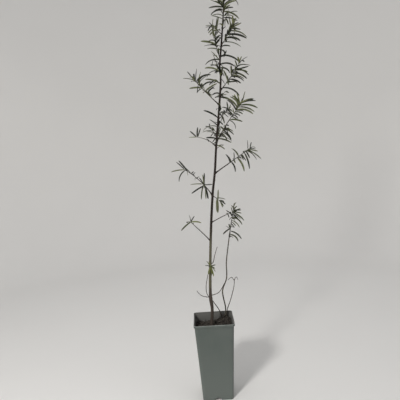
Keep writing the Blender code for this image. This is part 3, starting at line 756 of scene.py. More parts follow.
bark = Finish("bark of the trunk", {"Specular IOR Level": 0.15})
furrows = bark.noise(0.0016, detail=5.0, stretch=(1.0, 1.0, 0.22))
patches = bark.noise(0.009, detail=3.0, stretch=(1.0, 1.0, 0.5))
specks = bark.noise(0.0011, detail=2.0, stretch=(0.5, 0.5, 1.4))
height = bark.height() + (patches - 0.5) * OLIVE_RAGGED
above = bark.ramp(height, OLIVE_FROM - OLIVE_SHARP, OLIVE_FROM + OLIVE_SHARP)
olive = above - bark.ramp(height, OLIVE_TO - OLIVE_SOFT, OLIVE_TO + OLIVE_SOFT)
brown = bark.blend(bark.ramp(height, OLIVE_FROM, OLIVE_TO), BARK_FOOT, BARK_DARK)
aged = bark.blend(olive * 0.85, brown, BARK_OLIVE)
streaked = bark.blend(bark.ramp(furrows, 0.46, 0.70) * 0.30, aged, BARK_GREY)
specked = bark.blend(bark.ramp(specks, 0.66, 0.74) * 0.6, streaked, BARK_GREY)
bark.paint(specked, 0.62 + 0.25 * furrows)
bark.relief(furrows * 0.7 + specks * 0.3, BARK_DEPTH)
bough_bark = woody(
    "bark of the boughs", 0.15, grain=(0.0014, 5.0), grain_share=0.6, patches=(0.008,),
    edges=(0.40, 0.66), colours=(BOUGH_BROWN, BARK_GREY), roughness=(0.62, 0.25), depth=0.0003)
wood.faces.ensure_lookup_table()
for face in wood.faces[trunk_faces:]:
    face.material_index = 1
bmesh.ops.recalc_face_normals(wood, faces=wood.faces)
trunk_and_boughs = new_piece("trunk_and_boughs", wood, [bark, bough_bark])
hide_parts("trunk", *("bough_" + branch.name for branch in BRANCHES))

# Sucker stem
# A second, younger shoot from the same root. It is thin, snakes a little and is bare for most of
# its height, with smooth grey-olive bark and small scars.
SUCKER_ROUTE = (
    (0.000, 0.037, 0.040),
    (0.041, 0.038, 0.040),
    (0.091, 0.032, 0.036),
    (0.130, 0.046, 0.034),
    (0.176, 0.048, 0.034),
    (0.226, 0.056, 0.032),
    (0.276, 0.065, 0.028),
    (0.334, 0.077, 0.020),
)
ROUTE_SPACING = 0.009
SUCKER_DIAMETER = 0.0040
SUCKER_FLARE = 0.9
SUCKER_FLARE_TOP = 0.006
SUCKER_LEAFY_FROM = 0.248
SUCKER_BARK = (0.066, 0.057, 0.038)
SUCKER_BARK_DARK = (0.022, 0.018, 0.014)
SUCKER_FURROWS = 50.0

sucker_line = smooth_line(SUCKER_ROUTE, ROUTE_SPACING)
sucker_line[0].z += GAP
sucker_pieces = round(SUCKER_LEAFY_FROM / BOUGH_SPACING)


def sucker_radius(along, angle):
    girth = SUCKER_DIAMETER * (1 + (BOUGH_TIP_SHARE - 1) * along / SUCKER_LEAFY_FROM)
    flare = SUCKER_FLARE * math.exp(-((along / SUCKER_FLARE_TOP) ** 2))
    return girth / 2 * (1 + flare + furrow(along, angle, SUCKER_FURROWS)) + scar(along, angle, girth)


shoot = bmesh.new()
lay(shoot, BOUGH_SIDES, stretch(sucker_line, 0.0, SUCKER_LEAFY_FROM + GAP, sucker_pieces),
    sucker_pieces, sucker_radius)
bmesh.ops.recalc_face_normals(shoot, faces=shoot.faces)
young_bark = woody(
    "bark of the sucker", 0.35, grain=(0.0012, 4.0, (1.0, 1.0, 0.18)), grain_share=0.5,
    patches=(0.010, 3.0, (1.0, 1.0, 0.4)), edges=(0.40, 0.62), colours=(SUCKER_BARK_DARK, SUCKER_BARK),
    roughness=(0.55, 0.25), depth=0.00025)
sucker = new_piece("sucker_shoot", shoot, [young_bark])
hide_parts("sucker_stem")

# Dead shoots and twigs
# Dry, bare and brittle: two dead shoots that stand in the soil behind the trunk, one of them with
# curled ends, two dry twigs low on the trunk, and a long thorn.
DEAD_SHOOT_ROUTE = (
    (0.000, 0.029, 0.037),
    (0.035, 0.020, 0.028),
    (0.069, 0.002, 0.016),
    (0.092, -0.013, 0.009),
    (0.116, -0.015, 0.006),
    (0.151, -0.008, 0.004),
)
DEAD_STEM_ROUTE = (
    (0.000, 0.042, 0.044),
    (0.031, 0.043, 0.044),
    (0.060, 0.054, 0.044),
    (0.098, 0.066, 0.044),
    (0.121, 0.069, 0.044),
)
DEAD_STEM_LEFT_CURL = (
    (0.118, 0.0685, 0.044),
    (0.128, 0.062, 0.043),
    (0.126, 0.056, 0.042),
    (0.121, 0.050, 0.041),
)
DEAD_STEM_RIGHT_CURL = (
    (0.118, 0.0685, 0.044),
    (0.127, 0.073, 0.045),
    (0.126, 0.077, 0.046),
    (0.119, 0.079, 0.047),
)
DRY_TWIG_RIGHT_ROUTE = (
    (0.092, -0.004, 0.000),
    (0.094, 0.006, -0.003),
    (0.101, 0.021, -0.004),
    (0.120, 0.034, -0.005),
    (0.138, 0.044, -0.006),
)
DRY_TWIG_LEFT_ROUTE = (
    (0.087, -0.004, 0.000),
    (0.088, -0.012, -0.003),
    (0.093, -0.027, -0.006),
    (0.102, -0.037, -0.008),
    (0.110, -0.042, -0.009),
)
THORN_ROUTE = (
    (0.180, 0.001, 0.000),
    (0.187, 0.009, -0.002),
    (0.208, 0.015, -0.003),
    (0.230, 0.023, -0.003),
)
DEAD_DIAMETER = 0.0027
DRY_DIAMETER = 0.0022
CURL_DIAMETER = 0.0020
DEAD_TIP_SHARE = 0.60
DEAD_SIDES = 8
DEAD_KNOT_SPACING = 0.013
DEAD_KNOT_SWELL = 0.35
DEAD_KNOT_REACH = 0.0009
DEAD_FURROWS = 70.0
DEAD_WOOD = (0.056, 0.043, 0.033)
DEAD_WOOD_DARK = (0.014, 0.011, 0.009)

dead = bmesh.new()
for number, (route, girth) in enumerate((
        (DEAD_SHOOT_ROUTE, DEAD_DIAMETER), (DEAD_STEM_ROUTE, DEAD_DIAMETER),
        (DEAD_STEM_LEFT_CURL, CURL_DIAMETER), (DEAD_STEM_RIGHT_CURL, CURL_DIAMETER),
        (DRY_TWIG_RIGHT_ROUTE, DRY_DIAMETER), (DRY_TWIG_LEFT_ROUTE, DRY_DIAMETER),
        (THORN_ROUTE, DRY_DIAMETER))):
    line = smooth_line(route, TRUNK_SPACING / 2)
    length = line_length(line)
    pieces = round(length / BOUGH_SPACING)

    def dead_radius(along, angle):
        taper = 1 + (DEAD_TIP_SHARE - 1) * along / length
        away = math.remainder(along, DEAD_KNOT_SPACING) / DEAD_KNOT_REACH
        knot = DEAD_KNOT_SWELL * math.exp(-(away**2))
        return girth / 2 * taper * (1 + knot + 2 * furrow(along, angle, number + DEAD_FURROWS))

    lay(dead, DEAD_SIDES, line, pieces, dead_radius)
bmesh.ops.recalc_face_normals(dead, faces=dead.faces)
dead_wood = woody(
    "dead wood", 0.2, grain=(0.0009, 4.0, (1.0, 1.0, 0.2)), grain_share=0.4, patches=(0.012,),
    edges=(0.38, 0.62), colours=(DEAD_WOOD_DARK, DEAD_WOOD), roughness=(0.75, 0.2), depth=0.0003)
dead_twigs = new_piece("dead_twigs", dead, [dead_wood])
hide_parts("dead_shoot_left", "dead_stem_right", "dry_twig_right", "dry_twig_left", "thorn")

# Twigs
# The leafy ends of trunk, boughs and sucker, and short spurs that sit straight on the trunk. They
# are last summer's growth, thin and dark brown, with small swellings where leaves have been.
TRUNK_KNOTS = 26
SPUR_LENGTH = 0.007
SPUR_NECK = 0.0012
SPUR_SEAT = 0.0001
SPUR_DIAMETER = 0.0018
SPUR_RISE = 30.0
SPUR_LEAFY_FROM = 0.45
SPURS = (
    (0.174, 275, 1, 0.018),
    (0.505, 12, 4, 0.034),
    (0.550, 188, 5, 0.040),
    (0.574, 172, 4, 0.046),
    (0.604, -60, 5, 0.042),
    (0.644, 34, 5, 0.048),
    (0.681, 172, 6, 0.042),
    (0.697, -60, 5, 0.046),
    (0.731, 28, 6, 0.046),
    (0.764, 66, 5, 0.042),
    (0.824, -80, 6, 0.040),
)
LEADER_GROUPS = ((0.0, 0.75, 34, 0.041), (0.75, 1.0, 14, 0.032))
SUCKER_GROUPS = ((0.0, 0.7, 9, 0.028), (0.7, 1.0, 9, 0.028))
STEM_PIECES = 10
TWIG_TIP_SHARE = 0.45
TWIG_SIDES = 8
TWIG_SPACING = 0.0010
TWIG_OVERLAP = 0.0015
TWIG_BARK = (0.040, 0.031, 0.020)
TWIG_BARK_DARK = (0.012, 0.009, 0.007)
TWIG_FURROWS = 20.0
TWIG_SCARS = 0.4

knots = sorted([TRUNK_TOP * step / TRUNK_KNOTS for step in range(TRUNK_KNOTS + 1)]
               + [height for height, _ in TRUNK_DIAMETERS[1:TRUNK_SWELLINGS + 1]])
trunk_knots = [at_height(whole_trunk, height) for height in knots]
trunk_knots[0].z += GAP
stems = {}
girths = {}
groups = {}
for branch in BRANCHES:
    whole, meet = bough_tips[branch.name]
    name = "foliage_" + branch.name
    stems[name] = stretch(whole, meet + GAP, line_length(whole), STEM_PIECES)
    girths[name] = branch.diameter * BOUGH_TIP_SHARE
    groups[name] = branch.groups
for number, (level_height, azimuth, count, length) in enumerate(SPURS):
    name = f"spur_leaves_{number + 1:02d}"
    level = heading(azimuth, 0.0)
    girth = between(TRUNK_DIAMETERS, level_height)
    foot_point = at_height(trunk_knots, level_height) + level * (girth / 2 + GAP + SPUR_SEAT)
    neck = foot_point + level * SPUR_NECK
    stems[name] = [foot_point, neck, neck + heading(azimuth, SPUR_RISE) * SPUR_LENGTH]
    girths[name] = SPUR_DIAMETER
    groups[name] = ((SPUR_LEAFY_FROM, 1.0, count, length),)
leader = [point for point in whole_trunk if point.z > trunk_knots[-1].z + TRUNK_SPACING / 2]
stems["foliage_leader"] = [
    trunk_knots[-1] + (leader[0] - trunk_knots[-1]).normalized() * GAP, *leader]
girths["foliage_leader"] = between(TRUNK_DIAMETERS, TRUNK_TOP)
groups["foliage_leader"] = LEADER_GROUPS
stems["foliage_sucker"] = stretch(
    sucker_line, SUCKER_LEAFY_FROM + GAP, line_length(sucker_line), STEM_PIECES)
girths["foliage_sucker"] = SUCKER_DIAMETER * BOUGH_TIP_SHARE
groups["foliage_sucker"] = SUCKER_GROUPS

twig_wood = bmesh.new()
for number, (name, line) in enumerate(stems.items()):
    start = line[0] - (line[1] - line[0]).normalized() * TWIG_OVERLAP
    line = [start, *line]
    length = line_length(line)
    pieces = max(4, round(length / TWIG_SPACING))
    girth = girths[name]

    def twig_radius(along, angle):
        taper = 1 + (TWIG_TIP_SHARE - 1) * along / length
        rounded = min(1.0, math.sqrt(max(0.02, (length - along) / girth)))
        bumpy = 1 + furrow(along, angle, number + TWIG_FURROWS)
        return girth / 2 * taper * rounded * bumpy + TWIG_SCARS * scar(along, angle, girth)

    lay(twig_wood, TWIG_SIDES, line, pieces, twig_radius)
bmesh.ops.recalc_face_normals(twig_wood, faces=twig_wood.faces)
twig_bark = woody(
    "bark of the twigs", 0.35, grain=(0.0008, 4.0, (1.0, 1.0, 0.4)), grain_share=0.5, patches=(0.008,),
    edges=(0.40, 0.62), colours=(TWIG_BARK_DARK, TWIG_BARK), roughness=(0.55, 0.25), depth=0.0002)
twigs = new_piece("twigs", twig_wood, [twig_bark])
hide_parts(*stems)

# Leaves
# Narrow straps with a short point at each end, grooved along the midrib and keeled below, from
# nearly black to olive and young yellow-green; the nearly black ones are partly the leaf's own dark
# colour and partly painted shade. They turn round their stem by a fixed angle, stand wide open at
# its foot and close up towards its tip.
LEAF_WIDTH = 0.0050
LEAF_NARROW_SHARE = 0.72
LEAF_FULL_LENGTH = 0.040
LEAF_ROLL = 50.0
LEAF_TURN = 137.5
LEAF_SIDE_JITTER = 24.0
LEAF_OPEN_AT_FOOT = 68.0
LEAF_OPEN_AT_TIP = 36.0
LEAF_OPEN_JITTER = 12.0
LEAF_DROOP = (18.0, 80.0)
LEAF_LENGTH_SPREAD = (0.74, 1.20)
LEAF_FIRST = 0.0035
LEAF_LAST = 0.0004
LEAF_TRIES = 10
LEAF_TRY_TURN = 18.0
LEAF_TRY_SHORTER = 0.04
LEAF_SPACE = 0.0050
LEAF_CLEARANCE = 0.0034
LEAF_SAMPLES = (0.35, 0.6, 0.8, 1.0)
BOUGH_KNOTS = 5
LEAF_PIECES = 10
LEAF_END_CROWDING = 0.6
LEAF_BLADE_SHARE = 0.88
LEAF_FOLD = 0.35
LEAF_THICKNESS = 0.00035
LEAF_TWIST = 40.0
LEAF_FOOT_WIDTH = 0.20
LEAF_FOOT_REACH = 0.24
LEAF_FOOT_CURVE = 0.8
LEAF_TIP_FROM = 0.55
LEAF_TIP_CURVE = 2.2
LEAF_TIP_LEAST = 0.003

starts = []
ends = []
owners = []
for owner, line in stems.items():
    starts += line[:-1]
    ends += line[1:]
    owners += [owner] * (len(line) - 1)
stem_starts = numpy.array(starts)
stem_spans = numpy.array(ends) - stem_starts
stem_owners = numpy.array(owners)


def distances(point, from_points, spans):
    """Distance from a point to each of many straight pieces."""
    offset = numpy.array(point) - from_points
    share = numpy.clip((offset * spans).sum(1) / (spans**2).sum(1), 0.0, 1.0)
    return numpy.sqrt(((offset - spans * share[:, None]) ** 2).sum(1))


limb_starts = []
limb_ends = []
limb_halves = []
limb_lines = [(trunk_knots, between(TRUNK_DIAMETERS, BRANCHES[0].height) / 2)]
for branch in BRANCHES:
    whole, meet = bough_tips[branch.name]
    limb_lines.append((stretch(whole, 0.0, meet, BOUGH_KNOTS), branch.diameter / 2))
limb_lines.append((
    stretch(sucker_line, 0.0, SUCKER_LEAFY_FROM, round(SUCKER_LEAFY_FROM / ROUTE_SPACING)),
    SUCKER_DIAMETER / 2))
for route, girth in (
        (DEAD_SHOOT_ROUTE, DEAD_DIAMETER), (DEAD_STEM_ROUTE, DEAD_DIAMETER),
        (DRY_TWIG_RIGHT_ROUTE, DRY_DIAMETER), (DRY_TWIG_LEFT_ROUTE, DRY_DIAMETER),
        (THORN_ROUTE, DRY_DIAMETER)):
    limb_lines.append((smooth_line(route, ROUTE_SPACING), girth / 2))
for line, half in limb_lines:
    limb_starts += line[:-1]
    limb_ends += line[1:]
    limb_halves += [half] * (len(line) - 1)
limb_from = numpy.array(limb_starts)
limb_spans = numpy.array(limb_ends) - limb_from
limb_reach = numpy.array(limb_halves) + LEAF_CLEARANCE


def leaf_curve(root, outward, droop, length):
    """The midrib of a leaf: it leaves along outward and turns down by its droop. Returns a function
    from 0 at the root to 1 at the tip, which gives point, direction ahead and underside."""
    down = (outward * outward.z - UP).normalized() or outward.orthogonal().normalized()

    def at(share):
        turn = droop * share
        point = root + (outward * math.sin(turn) + down * (1 - math.cos(turn))) * (length / droop)
        ahead = outward * math.cos(turn) + down * math.sin(turn)
        under = down * math.cos(turn) - outward * math.sin(turn)
        return point, ahead, under

    return at


def leaf_fits(curve, own):
    """True where a leaf stays nearest to its own stem and clear of every limb."""
    for share in LEAF_SAMPLES:
        point = curve(share)[0]
        away = distances(point, stem_starts, stem_spans)
        mine = stem_owners == own
        if (away[~mine] < away[mine].min() + LEAF_SPACE).any():
            return False
        if (distances(point, limb_from, limb_spans) < limb_reach).any():
            return False
        if point.z < POT_HEIGHT + LEAF_SPACE:
            return False
    return True


class Leaf(NamedTuple):
    """A grown leaf: its midrib, width, roll in radians and how far up its stem it sits."""
    curve: object
    width: float
    roll: float
    share: float


def leaf_width(length, narrowest):
    """Full for a long leaf, down to a share of it for the shortest."""
    return LEAF_WIDTH * (narrowest + (1 - narrowest) * min(1.0, length / LEAF_FULL_LENGTH))


def grow_leaves(own, groups, seed):
    """The leaves of one stem. One that leaves the stem's space is tried at other angles."""
    chance = random.Random(seed + own)
    line = stems[own]
    total = line_length(line)
    grown = []
    turn = chance.uniform(0.0, 360.0)
    for first, last, count, usual_length in groups:
        for number in range(count):
            share = first + (last - first) * (number + 0.5) / count
            along = min(max(total * share, LEAF_FIRST), total - LEAF_LAST)
            root, axis = point_along(line, along)
            turn += LEAF_TURN
            for attempt in range(LEAF_TRIES):
                swing = LEAF_SIDE_JITTER + LEAF_TRY_TURN * attempt
                around = turn + chance.uniform(-swing, swing)
                opening = LEAF_OPEN_AT_FOOT + (LEAF_OPEN_AT_TIP - LEAF_OPEN_AT_FOOT) * share
                opening += chance.uniform(-LEAF_OPEN_JITTER, LEAF_OPEN_JITTER)
                length = usual_length * chance.uniform(*LEAF_LENGTH_SPREAD)
                length *= 1 - LEAF_TRY_SHORTER * attempt
                droop = math.radians(chance.uniform(*LEAF_DROOP))
                roll = math.radians(chance.uniform(-LEAF_ROLL, LEAF_ROLL))
                side = axis.cross(LIMB_GUIDE).normalized()
                side.rotate(Matrix.Rotation(math.radians(around), 3, axis))
                spread = math.radians(opening)
                outward = (axis * math.cos(spread) + side * math.sin(spread)).normalized()
                curve = leaf_curve(root, outward, droop, length)
                if leaf_fits(curve, own):
                    grown.append(Leaf(curve, leaf_width(length, LEAF_NARROW_SHARE), roll, share))
                    break
    return grown


def outline(share):
    """Half-width of a leaf as a share of its greatest."""
    foot = min(1.0, LEAF_FOOT_WIDTH + (share / LEAF_FOOT_REACH) ** LEAF_FOOT_CURVE)
    past = max(0.0, (share - LEAF_TIP_FROM) / (1 - LEAF_TIP_FROM))
    tip = math.sqrt(max(LEAF_TIP_LEAST, 1 - past**LEAF_TIP_CURVE))
    return foot * tip


def tuft(leaf, chance):
    """A few small young leaves that stand in the axil of an old one."""
    root, ahead, under = leaf.curve(0.0)
    grown = []
    for _ in range(chance.randint(*TUFT_LEAVES)):
        side = ahead.cross(under)
        side.rotate(Matrix.Rotation(chance.uniform(0.0, math.tau), 3, ahead))
        spread = math.radians(chance.uniform(*TUFT_OPEN))
        outward = (ahead * math.cos(spread) + side * math.sin(spread)).normalized()
        length = chance.uniform(*TUFT_LENGTHS)
        droop = math.radians(chance.uniform(*LEAF_DROOP))
        curve = leaf_curve(root, outward, droop, length)
        grown.append(Leaf(curve, LEAF_WIDTH * LEAF_NARROW_SHARE, 0.0, leaf.share))
    return grown


# One blade serves for every leaf. It is a rod of four sides, whose edges become the two margins,
# the groove above and the keel below.
blade = rod(4, LEAF_PIECES)
for face in blade.faces:
    face.material_index = int(face.calc_center_median().y < -1e-2)
blade_mesh = bpy.data.meshes.new("blade")
blade.to_mesh(blade_mesh)
blade.free()


def add_leaf(bm, leaf, twist):
    """Copies the blade into a bmesh and lays it along a leaf's midrib."""
    before = len(bm.verts)
    bm.from_mesh(blade_mesh)
    bm.verts.ensure_lookup_table()
    rings = []
    for piece in range(LEAF_PIECES + 1):
        share = piece / LEAF_PIECES
        share -= LEAF_END_CROWDING * math.sin(math.tau * share) / math.tau
        centre, ahead, under = leaf.curve(share)
        under.rotate(Matrix.Rotation(leaf.roll + math.radians(twist) * share, 3, ahead))
        across = under.cross(ahead)
        half = leaf.width * LEAF_BLADE_SHARE / 2 * outline(share)
        thick = LEAF_THICKNESS * (0.5 + outline(share))
        rings.append((centre, across * half, under, half * LEAF_FOLD, thick))
    for vert in bm.verts[before:]:
        centre, across, under, fold, thick = rings[round(vert.co.z * LEAF_PIECES)]
        if abs(vert.co.x) > abs(vert.co.y):
            vert.co = centre + across * math.copysign(1, vert.co.x) - under * fold
        elif vert.co.y > 0:
            vert.co = centre.copy()
        else:
            vert.co = centre + under * thick


# The nearly black kind is partly the leaf's own dark colour and partly painted shade: a darker copy of
# the olive leaf for leaves that lie in shade.
LEAF_KINDS = (
    ("leaves_dark", (0.012, 0.014, 0.008), (0.030, 0.033, 0.022)),
    ("leaves_olive", (0.042, 0.050, 0.018), (0.094, 0.102, 0.052)),
    ("leaves_young", (0.115, 0.128, 0.040), (0.180, 0.190, 0.085)),
)
DARK_AND_SHADED, OLIVE, YOUNG = range(3)
KIND_SHARES = (DARK_AND_SHADED, DARK_AND_SHADED, OLIVE)
TUFT_KINDS = (OLIVE, OLIVE, YOUNG)
YOUNG_FROM = 0.80
YOUNG_CHANCE = 0.4
FACING = 0.80
SECOND_SHARE = 0.9
SECOND_LENGTH = 0.88
TUFT_CHANCE = 0.12
TUFT_LEAVES = (2, 4)
TUFT_LENGTHS = (0.008, 0.014)
TUFT_OPEN = (15.0, 50.0)
LEAF_SHADE = 0.72
LEAF_LIGHT = 1.25
LEAF_MOTTLE = 0.006
LEAF_GRAIN = 0.0007
LEAF_GRAIN_DEPTH = 0.0001
UPPER_ROUGHNESS = 0.45
UNDER_ROUGHNESS = 0.62
